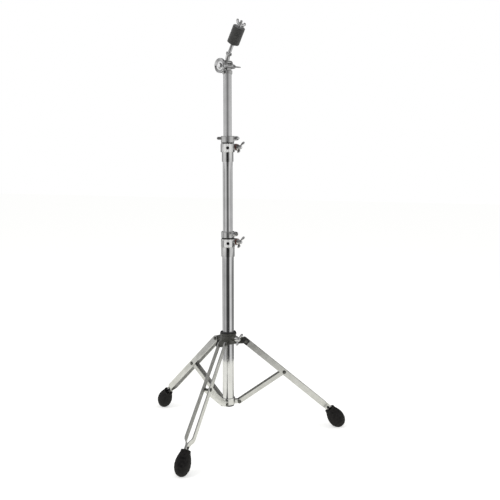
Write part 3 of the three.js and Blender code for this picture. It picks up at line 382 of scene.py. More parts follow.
def plated_steel_strip():
    """Chrome plate on rolled and pressed steel strip."""
    # The rolled strip isn't buffed before plating, so it mirrors softly, in 20 mm clouds
    clouds = {"Scale": per_metre(20), "Detail": 3.0}
    return new_finish(
        "plated_steel_strip", clouds, ("#C8C8C5", "#DADAD8"), (0.35, 0.7), (0.22, 0.34),
        metallic=1.0,
    )


def inner_plate_painted_shade():
    """Thin plate on the inner faces of strip and channel, greyed as painted shade."""
    # Plating hardly throws inside a channel, so it is nearly matt; its darker grey is painted shade
    # between the strips and in the channel, in 8 mm clouds
    clouds = {"Scale": per_metre(8), "Detail": 3.0}
    return new_finish(
        "inner_plate_painted_shade", clouds, ("#A6A6A2", "#C2C2BE"), (0.35, 0.7), (0.42, 0.6), metallic=0.3
    )


def chrome_plated_zinc():
    """Chrome plate on die-cast zinc."""
    # Softer than plated tube: 14 mm clouds, and a shallow orange peel of about 2 mm
    clouds = {"Scale": per_metre(14), "Detail": 3.0}
    peel = {"Scale": per_metre(2), "Detail": 2.0}
    material = new_finish(
        "chrome_plated_zinc", clouds, ("#C5C5C4", "#D7D7D6"), (0.35, 0.65), (0.04, 0.1),
        metallic=1.0,
    )
    raise_surface(material, peel, 0.12, 0.00003)
    return material


def near_white_face_finish():
    """A nearly white, half-matt finish on the flat faces of the clamp collars."""
    # Nearly white and half matt under a thin clear coat, speckled at 0.6 mm
    flakes = {"Scale": per_metre(0.6)}
    material = new_finish(
        "near_white_face_finish", flakes, ("#F6F6F5", "#FDFDFC"), (0.1, 0.7), (0.34, 0.46),
        kind="ShaderNodeTexVoronoi",
    )
    set_shader(material, {"Coat Weight": 0.3})
    return material


def nylon(name, tones, gloss):
    """Glass-filled nylon, as moulded, in two close tones and between two glosses."""
    grain = {"Scale": per_metre(0.8), "Detail": 3.0}
    material = new_finish(name, grain, tones, (0.3, 0.7), gloss)
    raise_surface(material, grain, 0.3, 0.00005)
    set_shader(material, {"IOR": 1.53})
    return material


def moulded_nylon():
    """Black nylon of the bushes, caps, plug and sleeve."""
    # Half matt, with the fine grain of a sparked mould, drawn at 0.8 mm so that it shows
    return nylon("moulded_nylon", ("#141415", "#242425"), (0.32, 0.48))


def grey_glossy_nylon():
    """Dark grey nylon of the leg hub."""
    # The same mould grain, in a lighter grey and glossier than the black nylon
    return nylon("grey_glossy_nylon", ("#383834", "#5E5E58"), (0.16, 0.28))


def moulded_rubber():
    """Black natural rubber, moulded."""
    # Matt and slightly mottled by bloom in patches of 6 mm, over a 1 mm grain
    bloom = {"Scale": per_metre(6), "Detail": 6.0, "Roughness": 0.75}
    grain = {"Scale": per_metre(1), "Detail": 2.0}
    material = new_finish(
        "moulded_rubber", bloom, ("#070607", "#2A2827"), (0.38, 0.68), (0.55, 0.85)
    )
    raise_surface(material, grain, 0.4, 0.00015)
    set_shader(material, {"IOR": 1.52, "Specular IOR Level": 0.25})
    return material


def pressed_wool_felt():
    """Black pressed wool felt."""
    # No gloss but a soft sheen, and matted fibres in tufts of about 5 mm
    tufts = {"Scale": per_metre(5), "Detail": 6.0, "Roughness": 0.7, "Distortion": 1.5}
    material = new_finish("pressed_wool_felt", tufts, ("#1E1E1E", "#4E4E4C"), (0.3, 0.7), (1.0, 1.0))
    raise_surface(material, tufts, 0.7, 0.0004)
    set_shader(material, {"Sheen Weight": 0.35, "Sheen Roughness": 0.6, "Specular IOR Level": 0.2})
    return material


def vulcanised_fibre():
    """Red-brown vulcanised fibre, as stamped washers are made of."""
    # Dense pressed paper: half matt, with darker flecks about 1 mm long
    flecks = {"Scale": per_metre(1), "Detail": 4.0}
    material = new_finish(
        "vulcanised_fibre", flecks, ("#74483E", "#9A6C60"), (0.3, 0.7), (0.55, 0.55)
    )
    raise_surface(material, flecks, 0.2, 0.00005)
    return material


def blackened_steel():
    """Steel with a black oxide skin, oiled."""
    # Nearly black, with a satin gloss that is patchy at about 3 mm
    patches = {"Scale": per_metre(3), "Detail": 3.0}
    return new_finish(
        "blackened_steel", patches, ("#161617", "#2C2C2E"), (0.3, 0.7), (0.28, 0.45), metallic=0.6
    )


def rubbed_black_steel():
    """Black oxide steel of the pins and rivets, rubbed back to grey."""
    # The moving leg wears the oxide off in patches of about 3 mm
    patches = {"Scale": per_metre(3), "Detail": 3.0}
    return new_finish(
        "rubbed_black_steel", patches, ("#4A4A47", "#74746F"), (0.3, 0.7), (0.22, 0.4), metallic=0.8
    )


# Each of the record's slots, and the finish that it gets
FINISHES = {
    "chrome": bright_chrome_plate,
    "cast_chrome": chrome_plated_zinc,
    "black_steel": blackened_steel,
    "nylon": moulded_nylon,
    "rubber": moulded_rubber,
    "felt": pressed_wool_felt,
    "fibre": vulcanised_fibre,
}
SLOT_OF_NODE = {part["node"]: part["material_slot"] for part in frame["record"]["subparts"]}


def finish_of(maker):
    """A finish's material, made the first time that it is asked for."""
    return bpy.data.materials.get(maker.__name__) or maker()


# Surfaces as whole arrays


def rounded_outline(corners, radii, closed=True, steps=4):
    """Outline whose corners are rounded.

    Each corner is left for a parabola that starts and ends its own radius away along
    the two sides, and bends towards the corner: (1-t)^2 start + 2t(1-t) corner + t^2 end.
    The two ends of an open outline stay sharp. Beyond each bend lies one more point, so
    that the bend's shading ends there and doesn't run along the whole side.
    """
    corners = np.asarray(corners, float)
    reach = np.array(np.broadcast_to(radii, len(corners)), float)[:, None]
    before, after = np.roll(corners, 1, 0), np.roll(corners, -1, 0)
    if not closed:
        reach[[0, -1]] = 0
    length_before = np.linalg.norm(before - corners, axis=1, keepdims=True)
    length_after = np.linalg.norm(after - corners, axis=1, keepdims=True)
    to_before, to_after = (before - corners) / length_before, (after - corners) / length_after
    start, end = corners + to_before * reach, corners + to_after * reach
    t = np.linspace(0, 1, steps + 1)[None, :, None]
    arcs = (1 - t) ** 2 * start[:, None] + 2 * t * (1 - t) * corners[:, None] + t**2 * end[:, None]
    just_past = 0.00005
    beyond = 1.3 * reach + just_past
    first = corners + to_before * np.minimum(beyond, length_before / 2)
    last = corners + to_after * np.minimum(beyond, length_after / 2)
    if not closed:
        first[0], last[-1] = corners[0], corners[-1]
    return np.concatenate([first[:, None], arcs, last[:, None]], 1).reshape(-1, 2)


def smooth_stations(stations, steps):
    """Smooth line through the stations, with a number of steps between each two.

    Between stations p1 and p2, with p0 before and p3 after, the point at t is
    p1 + t(p2-p0)/2 + t^2(p0 - 5p1/2 + 2p2 - p3/2) + t^3(3(p1-p2) + p3 - p0)/2.
    """
    stations = np.asarray(stations, float)
    padded = np.concatenate([stations[:1], stations, stations[-1:]])
    p0, p1, p2, p3 = (padded[i:len(stations) - 1 + i, None] for i in range(4))
    t = np.linspace(0, 1, steps, endpoint=False)[None, :, None]
    line = (
        p1 + t * (p2 - p0) / 2 + t**2 * (p0 - 2.5 * p1 + 2 * p2 - p3 / 2)
        + t**3 * (3 * (p1 - p2) + p3 - p0) / 2
    )
    return np.concatenate([line.reshape(-1, stations.shape[1]), stations[-1:]])


def axes_round(axis, side):
    """Unit vectors: the axis, the part of side that is square to it, and their product."""
    axis = np.asarray(axis, float) / np.linalg.norm(axis)
    side = np.asarray(side, float) - np.dot(side, axis) * axis
    side = side / np.linalg.norm(side)
    return axis, side, np.cross(axis, side)


def turn_angles(sides):
    """Angles of the columns of a surface that closes round its axis."""
    return np.linspace(0, 2 * np.pi, sides, endpoint=False)


def turned_points(outline, origin, axis, side, sides, radius=None, width_share=1.0):
    """Grid of a turned surface.

    The point at outline row i and turn angle a is the origin, plus the height along the
    axis, plus the radius times (cos a) along side and (sin a) across it. The radius is
    the outline's, or is given for each row and side. The width share scales it along side.
    """
    axis, side, across = axes_round(axis, side)
    angles = turn_angles(sides)[:, None]
    around = np.cos(angles) * side * width_share + np.sin(angles) * across
    radius = outline[:, :1] if radius is None else radius
    return origin + outline[:, 1, None, None] * axis + radius[..., None] * around[None]


def grid_mesh(*grids):
    """A mesh of one or more grids of points.

    Each grid closes round its columns. Where its first and last rows are each a single
    point, the ends close there, and otherwise the last row joins the first.
    """
    points, faces, start = [], [], 0
    for grid in grids:
        rows, columns = grid.shape[:2]
        capped = np.allclose(grid[0], grid[0, :1]) and np.allclose(grid[-1], grid[-1, :1])
        row = np.arange(rows - 1 if capped else rows)[:, None]
        column = np.arange(columns)[None]
        next_row, next_column = (row + 1) % rows, (column + 1) % columns
        quads = np.stack([
            row * columns + column, row * columns + next_column,
            next_row * columns + next_column, next_row * columns + column,
        ], -1)
        faces.append(quads.reshape(-1, 4) + start)
        points.append(grid.reshape(-1, 3))
        start += rows * columns
    mesh = bpy.data.meshes.new("grid")
    mesh.from_pydata(np.concatenate(points).tolist(), [], np.concatenate(faces).tolist())
    shape = bmesh.new()
    shape.from_mesh(mesh)
    bmesh.ops.remove_doubles(shape, verts=shape.verts, dist=1e-7)
    bmesh.ops.recalc_face_normals(shape, faces=shape.faces)
    shape.to_mesh(mesh)
    shape.free()
    return mesh


def put_in_place(node, mesh, sharp=math.radians(40), maker=None):
    """Shows the mesh as the finished piece of a node, on its body.

    Its finish is the slot's, unless the call names a maker.
    """
    name = node + "_finished"
    mesh.name = name
    piece = bpy.data.objects.new(name, mesh)
    bpy.context.scene.collection.objects.link(piece)
    mesh.materials.clear()
    mesh.materials.append(finish_of(maker or FINISHES[SLOT_OF_NODE[node]]))
    mesh.shade_smooth()
    mesh.set_sharp_from_angle(angle=sharp)
    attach(piece, frame["nodes"][node]["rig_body"])
    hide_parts(node)
    return piece


def soften(node, rounding, steps, maker=None):
    """A copy of a node with its flat faces whole again and its edges rounded."""
    sharp, flat = math.radians(32), math.radians(0.5)
    mesh = frame["nodes"][node].data.copy()
    shape = bmesh.new()
    shape.from_mesh(mesh)
    bmesh.ops.remove_doubles(shape, verts=shape.verts, dist=1e-6)
    bmesh.ops.dissolve_limit(shape, angle_limit=flat, verts=shape.verts, edges=shape.edges)
    shape.to_mesh(mesh)
    shape.free()
    piece = put_in_place(node, mesh, sharp, maker)
    edges = piece.modifiers.new("Rounded edges", "BEVEL")
    edges.width = rounding
    edges.segments = steps
    edges.limit_method = "ANGLE"
    edges.angle_limit = sharp
    edges.use_clamp_overlap = True
    edges.harden_normals = True
    return piece


def faces_of(piece, what):
    """The values of a piece's faces under "normal" or "center"."""
    values = np.empty(len(piece.data.polygons) * 3)
    piece.data.polygons.foreach_get(what, values)
    return values.reshape(-1, 3)


def second_finish(piece, maker, faces):
    """Gives some of a piece's faces another finish."""
    slots = np.empty(len(faces), np.int32)
    piece.data.polygons.foreach_get("material_index", slots)
    slots[faces] = len(piece.data.materials)
    piece.data.materials.append(finish_of(maker))
    piece.data.polygons.foreach_set("material_index", slots)


def column_centre():
    """Where the stand's upright axis meets the floor."""
    low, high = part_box("base_tube")
    return np.array([(low.x + high.x) / 2, (low.y + high.y) / 2, 0])


def joint_place(name):
    """A point on the joint's axis."""
    return np.array(JOINTS[name]["pos_m"], float)


def joint_axis(name):
    """The direction of the joint's axis."""
    return np.array(JOINTS[name]["axis"], float)


def rod_frame():
    """The rod's foot, the direction that it leans in, and the tilt axis square to it."""
    axis = joint_axis("felt_lift")
    foot = joint_place("cymbal_nut_turn") - axis * NUT_JOINT_RISE
    return foot, axis, joint_axis("tilter_tilt")


def rod_seats(scene):
    """Heights above the rod's foot at which the pieces on the rod start, upwards."""
    flange = scene.stand_rod.shank_length + SEAT_GAP
    lower_felt = flange + SLEEVE_FLANGE_THICKNESS + SEAT_GAP
    upper_felt = lower_felt + scene.stand_felts.lower_length + SEAT_GAP
    washer = upper_felt + scene.stand_felts.upper_length + SEAT_GAP
    nut = washer + STEEL_WASHER_THICKNESS + SEAT_GAP
    return {
        "flange": flange, "lower_felt": lower_felt, "upper_felt": upper_felt, "washer": washer,
        "nut": nut,
    }


def turned_piece(node, origin, axis, side, corners, radii, sides=48, closed=True):
    """Puts a turned surface in place of a node, its corners rounded by the radii."""
    outline = rounded_outline(corners, radii, closed)
    put_in_place(node, grid_mesh(turned_points(outline, origin, axis, side, sides)))


def rivet_outline(shank, head, start, end, crown):
    """Half outline of a rivet: a shank between two heads, domed like a quarter ellipse."""
    domed_share = 0.75
    angle = np.linspace(0, np.pi / 2, 8)
    dome = np.stack([head * np.sin(angle), crown * domed_share * (1 - np.cos(angle))], 1)
    lower = dome + [0, start]
    upper = dome[::-1] * [1, -1] + [0, end]
    middle = [
        [head, start + crown], [shank, start + crown], [shank, end - crown], [head, end - crown],
    ]
    return np.concatenate([lower, middle, upper])


# Operators, one for each piece or group of like pieces


class STAND_OT_tubes(bpy.types.Operator):
    """Makes the three chrome tubes as turned walls with rounded ends"""

    bl_idname = "stand.tubes"
    bl_label = "Tubes"

    def execute(self, context):
        size = context.scene.stand_tubes
        walls = {
            "base_tube": size.base_wall, "middle_tube": size.middle_wall, "top_tube": size.top_wall,
        }
        for node, wall in walls.items():
            low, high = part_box(node)
            radius = (high.x - low.x) / 2
            corners = [
                [radius - wall, low.z], [radius, low.z], [radius, high.z], [radius - wall, high.z],
            ]
            turned_piece(
                node, column_centre(), UP, [1, 0, 0], corners, size.end_round, size.sides
            )
        return {"FINISHED"}


class STAND_OT_castings(bpy.types.Operator):
    """Rounds the edges of the hubs, collars, locks and tilter castings"""

    bl_idname = "stand.castings"
    bl_label = "Castings"

    def execute(self, context):
        size = context.scene.stand_edges
        nodes = (
            "leg_hub", "strut_hub", "lower_collar", "upper_collar", "lower_memory_lock",
            "upper_memory_lock", "tilter_base", "tilter_arm",
        )
        for node in nodes:
            # The leg hub gets a lighter grey, glossier nylon than the black parts
            maker = grey_glossy_nylon if node == "leg_hub" else None
            piece = soften(node, size.casting, size.steps, maker=maker)
            if node.endswith("_collar"):
                self.lacquer_face(piece, node.replace("collar", "collar_screw"))
        return {"FINISHED"}

    @staticmethod
    def lacquer_face(piece, screw):
        """Gives the flat face round the collar's screw its own finish."""
        # The flat face lies just beyond this distance from the stand's axis
        reach = 0.0163
        low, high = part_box(screw)
        out = np.array((low + high) / 2) - column_centre()
        out[2] = 0
        out /= np.linalg.norm(out)
        distances = (faces_of(piece, "center") - column_centre()) @ out
        facing = faces_of(piece, "normal") @ out > 0.99
        # The flat face gets a nearly white, half-matt finish
        second_finish(piece, near_white_face_finish, facing & (distances > reach))


class STAND_OT_legs(bpy.types.Operator):
    """Rounds the edges of the leg strips, struts and caps, and turns their pins and rivets"""

    bl_idname = "stand.legs"
    bl_label = "Legs and Struts"

    def execute(self, context):
        size = context.scene.stand_edges
        head_height = 0.0018
        for number in LEG_NUMBERS:
            axis = joint_axis(f"leg_{number}_fold")
            for part in ("leg_strip_a", "leg_strip_b", "strut"):
                piece = soften(f"{part}_{number}", size.strip, size.steps, plated_steel_strip)
                # The faces between the strips and inside the strut's channel get painted shade
                self.dull_inside(piece, axis, part == "strut")
            soften(f"pivot_cap_{number}", size.small, size.steps)
            for part, place, shank, head in self.rivets(number):
                low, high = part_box(f"{part}_1")
                outline = rivet_outline(shank, head, low.x, high.x, head_height)
                grid = turned_points(outline, place, axis, UP, 40)
                maker = None if part == "foot_rivet" else rubbed_black_steel
                put_in_place(f"{part}_{number}", grid_mesh(grid), math.radians(50), maker)
        return {"FINISHED"}

    @staticmethod
    def dull_inside(piece, axis, is_strut):
        """Greys the faces that look inwards, and a strut's web, with painted shade, and blackens its
        rivet heads.
        """
        half_web, head_depth = 0.005, 0.0012
        across = (faces_of(piece, "center") - column_centre()) @ axis
        normals = faces_of(piece, "normal")
        inner = np.sign(across) * (normals @ axis) < -0.9
        if is_strut:
            inner |= (np.abs(across) < half_web) & (normals[:, 2] > 0.5)
            heads = np.abs(across) > np.abs(across).max() - head_depth
            second_finish(piece, rubbed_black_steel, heads)
        # Painted shade: a greyer, duller plate on the inward faces and the strut's web
        second_finish(piece, inner_plate_painted_shade, inner)

    @staticmethod
    def rivets(number):
        """Each pin or rivet of a leg: its node, its place, and its shank and head radii.

        They lie along the leg's own axis, from the pivot out and down to the foot.
        """
        foot_rivet_distance = 0.286
        pivot, joint = joint_place(f"leg_{number}_fold"), joint_place(f"strut_{number}_fold")
        along = (joint - pivot) / np.linalg.norm(joint - pivot)
        return (
            ("leg_pivot_pin", pivot, 0.0032, 0.0046),
            ("strut_rivet", joint, 0.0025, 0.0046),
            ("foot_rivet", pivot + along * foot_rivet_distance, 0.0018, 0.0034),
        )


class STAND_OT_feet(bpy.types.Operator):
    """Makes the rubber feet, pear shaped and grooved, pressed flat on the floor"""

    bl_idname = "stand.feet"
    bl_label = "Rubber Feet"

    def execute(self, context):
        size = context.scene.stand_feet
        for number in LEG_NUMBERS:
            joint = f"leg_{number}_fold"
            out = np.cross(joint_axis(joint), UP)
            along = out * math.cos(size.leg_angle) - UP * math.sin(size.leg_angle)
            neck = joint_place(joint) + along * size.distance
            foot_angle = size.leg_angle + size.bend
            axis = out * math.cos(foot_angle) - UP * math.sin(foot_angle)
            grid = self.pear(size, neck, axis, joint_axis(joint))
            put_in_place(f"foot_{number}", grid_mesh(grid))
        return {"FINISHED"}

    @staticmethod
    def pear(size, neck, axis, across):
        """Points of a foot.

        The radius at a share u of the length is the pear curve through the outline's
        stations, less the grooves: the depth times the sixth power of |sin| of pi times
        the number of ribs times u. They come in from a share of 0.2 to 0.35 and go out
        from 0.8 to 0.9. A shallow hole takes the leg. The width across the leg is a share
        of the depth, and what would lie below the floor is lifted to it.
        """
        stations = [
            [0, 0.62], [0.1, 0.66], [0.22, 0.8], [0.38, 0.95], [0.55, 1], [0.72, 0.93],
            [0.86, 0.72], [0.95, 0.45], [1, 0],
        ]
        line = smooth_stations(stations, 12)
        share = line[:, 0]
        grooves = np.abs(np.sin(np.pi * size.ribs * share)) ** 6
        fade = np.clip((share - 0.2) / 0.15, 0, 1) * np.clip((0.9 - share) / 0.1, 0, 1)
        radius = np.maximum(size.radius * line[:, 1] - size.rib_depth * grooves * fade, 0)
        mouth, hole_depth = radius[0], 0.004
        lip = [
            [0, hole_depth], [0.55 * mouth, hole_depth], [0.6 * mouth, 0.0006], [0.92 * mouth, 0],
        ]
        outline = np.concatenate([lip, np.stack([radius, size.length * share], 1)[1:]])
        grid = turned_points(outline, neck, axis, across, 72, width_share=size.width_share)
        grid[..., 2] = np.maximum(grid[..., 2], 0)
        return grid


class STAND_OT_plastics(bpy.types.Operator):
    """Makes the nylon bushes, the plug and the rod's sleeve as turned mouldings"""

    bl_idname = "stand.plastics"
    bl_label = "Nylon Parts"

    def execute(self, context):
        centre = column_centre()
        # Bore, radius, flange radius and flange thickness of each bush
        bushes = {
            "hub_bush": (0.0145, 0.0167, 0.0194, 0.003),
            "lower_bush": (0.0122, 0.0138, 0.0156, 0.0015),
            "upper_bush": (0.0102, 0.0115, 0.0156, 0.0015),
        }
        for node, (bore, radius, flange, thickness) in bushes.items():
            low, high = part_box(node)
            seat = high.z - thickness
            corners = [
                [bore, low.z], [radius, low.z], [radius, seat], [flange, seat], [flange, high.z],
                [bore, high.z],
            ]
            radii = [0.0002, 0.0003, 0.0001, 0.0006, 0.0006, 0.0003]
            turned_piece(node, centre, UP, [1, 0, 0], corners, radii, 72)
        self.make_plug(centre)
        self.make_sleeve(rod_seats(context.scene))
        return {"FINISHED"}

    @staticmethod
    def make_plug(centre):
        """The plug in the base tube's end: a flange with a dimple, and a stem inside."""
        radius, flange, dimple = 0.0125, 0.0143, 0.005
        low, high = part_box("base_plug")
        seat, roof = low.z + 0.003, low.z + 0.002
        corners = [
            [0, roof], [dimple, roof], [dimple, low.z], [flange, low.z], [flange, seat],
            [radius, seat], [radius, high.z], [0, high.z],
        ]
        radii = [0, 0.0005, 0.0005, 0.001, 0.0003, 0.0001, 0.0006, 0]
        turned_piece("base_plug", centre, UP, [1, 0, 0], corners, radii, 72, closed=False)

    @staticmethod
    def make_sleeve(seats):
        """The rod's sleeve, with a flange under the lower felt."""
        radius, flange = 0.0049, 0.009
        bottom, top = seats["flange"], seats["washer"] - SEAT_GAP
        shoulder = bottom + SLEEVE_FLANGE_THICKNESS
        corners = [
            [BOLT_BORE, bottom], [flange, bottom], [flange, shoulder], [radius, shoulder],
            [radius, top], [BOLT_BORE, top],
        ]
        radii = [0.0002, 0.0005, 0.0005, 0.0003, 0.0003, 0.0002]
        turned_piece("cymbal_sleeve", *rod_frame(), corners, radii, 64)


class STAND_OT_washers(bpy.types.Operator):
    """Makes the fibre washers under the clamp wings and the steel washer on the felt"""

    bl_idname = "stand.washers"
    bl_label = "Washers"

    def execute(self, context):
        seat = EAR_HALF_THICKNESS + SEAT_GAP
        fibre = self.ring(0.0076, seat, FIBRE_WASHER_THICKNESS)
        for clamp in ("lower", "upper"):
            joint = f"{clamp}_wing_turn"
            turned_piece(
                f"{clamp}_washer", joint_place(joint), joint_axis(joint), UP, fibre, 0.0003
            )
        steel = self.ring(0.0085, rod_seats(context.scene)["washer"], STEEL_WASHER_THICKNESS)
        turned_piece("cymbal_washer", *rod_frame(), steel, 0.0003, 64)
        return {"FINISHED"}

    @staticmethod
    def ring(radius, seat, thickness):
        """Corners of half a washer's section."""
        top = seat + thickness
        return [[BOLT_BORE, seat], [radius, seat], [radius, top], [BOLT_BORE, top]]


class STAND_OT_hardware(bpy.types.Operator):
    """Rounds the edges of bolts, screws and the hex nut, and turns the tilter's screw"""

    bl_idname = "stand.hardware"
    bl_label = "Bolts and Screws"

    def execute(self, context):
        size = context.scene.stand_edges
        nodes = (
            "lower_clamp_bolt", "upper_clamp_bolt", "lower_collar_screw", "upper_collar_screw",
            "lower_lock_screw", "upper_lock_screw", "rod_nut",
        )
        for node in nodes:
            soften(node, size.small, size.steps)
        self.make_tilter_screw()
        return {"FINISHED"}

    @staticmethod
    def make_tilter_screw():
        """The tilter's screw: a shank, and a low head with a bevelled rim on the disc."""
        radius, head, end = 0.003, 0.0055, -0.0256
        seat = TILTER_DISC_FACE + SEAT_GAP
        rim, top = seat + 0.0006, seat + 0.0011
        corners = [
            [0, end], [radius, end], [radius, seat], [head, seat], [head, rim],
            [head - 0.0005, top], [0, top],
        ]
        radii = [0, 0.0005, 0.0002, 0.0002, 0.0002, 0.0002, 0]
        turned_piece(
            "tilter_screw", joint_place("tilter_tilt"), -joint_axis("tilter_tilt"), UP, corners,
            radii, closed=False,
        )


def wing_edges(size, rows):
    """The two edges of a wing, from its root to the middle of its round tip.

    Each edge is a straight root, a parabola that sweeps up to the tip, and an arc of the
    tip's circle. The arcs start below and above the tip and meet in its middle. Points go
    evenly along each edge.
    """
    tip = np.array([size["reach"] - size["tip_radius"], size["tip_height"]])
    below, middle, above = math.radians(-60), math.radians(35), math.radians(130)

    def edge(root, knee, pull, turn):
        t = np.linspace(0, 1, 24)[:, None]
        arc = np.linspace(turn, middle, 24)
        round_tip = tip + size["tip_radius"] * np.stack([np.cos(arc), np.sin(arc)], 1)
        sweep = (1 - t) ** 2 * knee + 2 * t * (1 - t) * pull + t**2 * round_tip[:1]
        line = np.concatenate([[root], sweep, round_tip[1:]])
        lengths = np.concatenate([[0], np.cumsum(np.linalg.norm(np.diff(line, axis=0), axis=1))])
        places = np.linspace(0, lengths[-1], rows)
        return np.stack([np.interp(places, lengths, line[:, i]) for i in (0, 1)], 1)

    root, shoulder = size["root_height"], size["shoulder_height"]
    knee = size["shoulder_radius"]
    lower = edge(
        np.array([size["inside"], root]), np.array([knee, root]), np.array([tip[0], root]), below
    )
    upper = edge(
        np.array([size["inside"], shoulder]), np.array([knee * 0.6, shoulder]),
        np.array([size["hub_radius"], shoulder]), above,
    )
    return lower, upper


def wing_points(size, axis, side, across):
    """Points of one wing of a wing nut.

    Between the two edges lies a full oval, whose sine and cosine are raised to the power
    of fullness. At a share t of the way to the tip, its half depth is the wing's times
    (1 - taper t) and times the square root of 1 - t^6. Both ends close to a point.
    """
    rows, taper, fullness = 40, 0.15, 0.75
    lower, upper = wing_edges(size, rows)
    middle, half = (lower + upper) / 2, (upper - lower) / 2
    half[0] = 0
    t = np.linspace(0, 1, rows)
    depth = size["thickness"] / 2 * (1 - taper * t) * np.sqrt(np.clip(1 - t**6, 0, 1))
    depth[0] = 0
    angles = turn_angles(28)
    flat = np.sign(np.cos(angles)) * np.abs(np.cos(angles)) ** fullness
    thick = np.sign(np.sin(angles)) * np.abs(np.sin(angles)) ** fullness
    spread = middle[:, None] + half[:, None] * flat[None, :, None]
    return (
        spread[..., :1] * side + spread[..., 1:] * axis
        + (depth[:, None] * thick[None])[..., None] * across
    )


def wing_nut_grids(size, seat, axis, side, turn):
    """Grids of a wing nut: a turned hub on its seat, and a wing on each side of it."""
    axis, side, across = axes_round(axis, side)
    side, across = (
        side * math.cos(turn) + across * math.sin(turn),
        across * math.cos(turn) - side * math.sin(turn),
    )
    bore, radius, height = size["bore"], size["hub_radius"], size["hub_height"]
    shoulder = [size["shoulder_radius"], size["shoulder_height"]]
    crown = [max(0.6 * shoulder[0], bore + 0.0007), height]
    outline = rounded_outline(
        [[bore, 0], [radius, 0], [0.98 * radius, 0.16 * height], shoulder, crown, [bore, height]],
        [0.0002, 0.0004, 0.0006, 0.0012, 0.0005, 0.0001], closed=bore > 0,
    )
    hub = turned_points(outline, seat, axis, side, 48)
    wings = [wing_points(size, axis, side * sign, across * sign) + seat for sign in (1, -1)]
    return [hub, *wings]


class STAND_OT_wing_nuts(bpy.types.Operator):
    """Makes the wing nuts and the hub's wing bolt, with swept round wings"""

    bl_idname = "stand.wing_nuts"
    bl_label = "Wing Nuts"

    def execute(self, context):
        size = context.scene.stand_wings
        # A hub with a shoulder, and a wing from inside the hub out to its round tip
        nut = {"bore": BOLT_BORE, "inside": 0.0036}
        clamp = nut | {
            "hub_radius": 0.0065, "hub_height": 0.013, "shoulder_radius": 0.005,
            "shoulder_height": 0.0105, "reach": size.clamp_reach, "root_height": 0.0073,
            "tip_radius": 0.0046, "tip_height": 0.0124, "thickness": 0.0036,
        }
        bolt = clamp | {"bore": 0.0}
        tilter = clamp | {"reach": size.tilter_reach}
        cymbal = nut | {
            "hub_radius": 0.0054, "hub_height": 0.0085, "shoulder_radius": 0.0044,
            "shoulder_height": 0.0065, "reach": size.cymbal_reach, "root_height": 0.0012,
            "tip_radius": 0.0039, "tip_height": 0.0092, "thickness": 0.003,
        }
        clamp_seat = EAR_HALF_THICKNESS + FIBRE_WASHER_THICKNESS + 2 * SEAT_GAP
        nuts = (
            ("lower_wing_nut", "lower_wing_turn", clamp_seat, size.clamp_turn, clamp),
            ("upper_wing_nut", "upper_wing_turn", clamp_seat, size.clamp_turn, clamp),
            ("tilter_wing_nut", "tilter_wing_turn", TILTER_SEAT, size.tilter_turn, tilter),
            ("hub_wing_bolt", "hub_wing_turn", SEAT_GAP, size.clamp_turn, bolt),
        )
        for node, joint, seat, turn, shape in nuts:
            axis = joint_axis(joint)
            place = joint_place(joint) + axis * seat
            side = np.cross(UP, axis)
            grids = wing_nut_grids(shape, place, axis, side, turn)
            if node == "hub_wing_bolt":
                grids.append(self.stem(place, axis, side))
            put_in_place(node, grid_mesh(*grids))
        foot, axis, tilt = rod_frame()
        seat = foot + axis * rod_seats(context.scene)["nut"]
        side = np.cross(tilt, axis)
        grids = wing_nut_grids(cymbal, seat, axis, side, size.cymbal_turn)
        put_in_place("cymbal_wing_nut", grid_mesh(*grids))
        return {"FINISHED"}

    @staticmethod
    def stem(seat, axis, side):
        """The hub bolt's plain stem, which goes back into the leg hub."""
        radius, bottom, top = 0.004, -0.014, 0.0004
        outline = rounded_outline(
            [[0, bottom], [radius, bottom], [radius, top], [0, top]], [0, 0.0004, 0.0002, 0],
            closed=False,
        )
        return turned_points(outline, seat, axis, side, 32)


class STAND_OT_tilter_disc(bpy.types.Operator):
    """Makes the tilter's disc with its boss, a dished face and a seat for the screw"""

    bl_idname = "stand.tilter_disc"
    bl_label = "Tilter Disc"

    def execute(self, context):
        radius, boss, screw_seat = 0.0175, 0.007, 0.006
        back, face = TILTER_SEAT + 0.009, TILTER_DISC_FACE
        dish = face - 0.0022
        corners = [
            [BOLT_BORE, TILTER_SEAT], [boss, TILTER_SEAT], [boss, back], [radius, back],
            [radius, face], [radius - 0.001, face], [radius - 0.006, dish],
            [screw_seat + 0.0007, dish], [screw_seat, face], [BOLT_BORE, face],
        ]
        radii = [0.0002, 0.0004, 0.0008, 0.001, 0.0006, 0.0004, 0.002, 0.0004, 0.0003, 0.0002]
        turned_piece(
            "tilter_disc", joint_place("tilter_tilt"), -joint_axis("tilter_tilt"), UP, corners,
            radii, 96,
        )
        return {"FINISHED"}


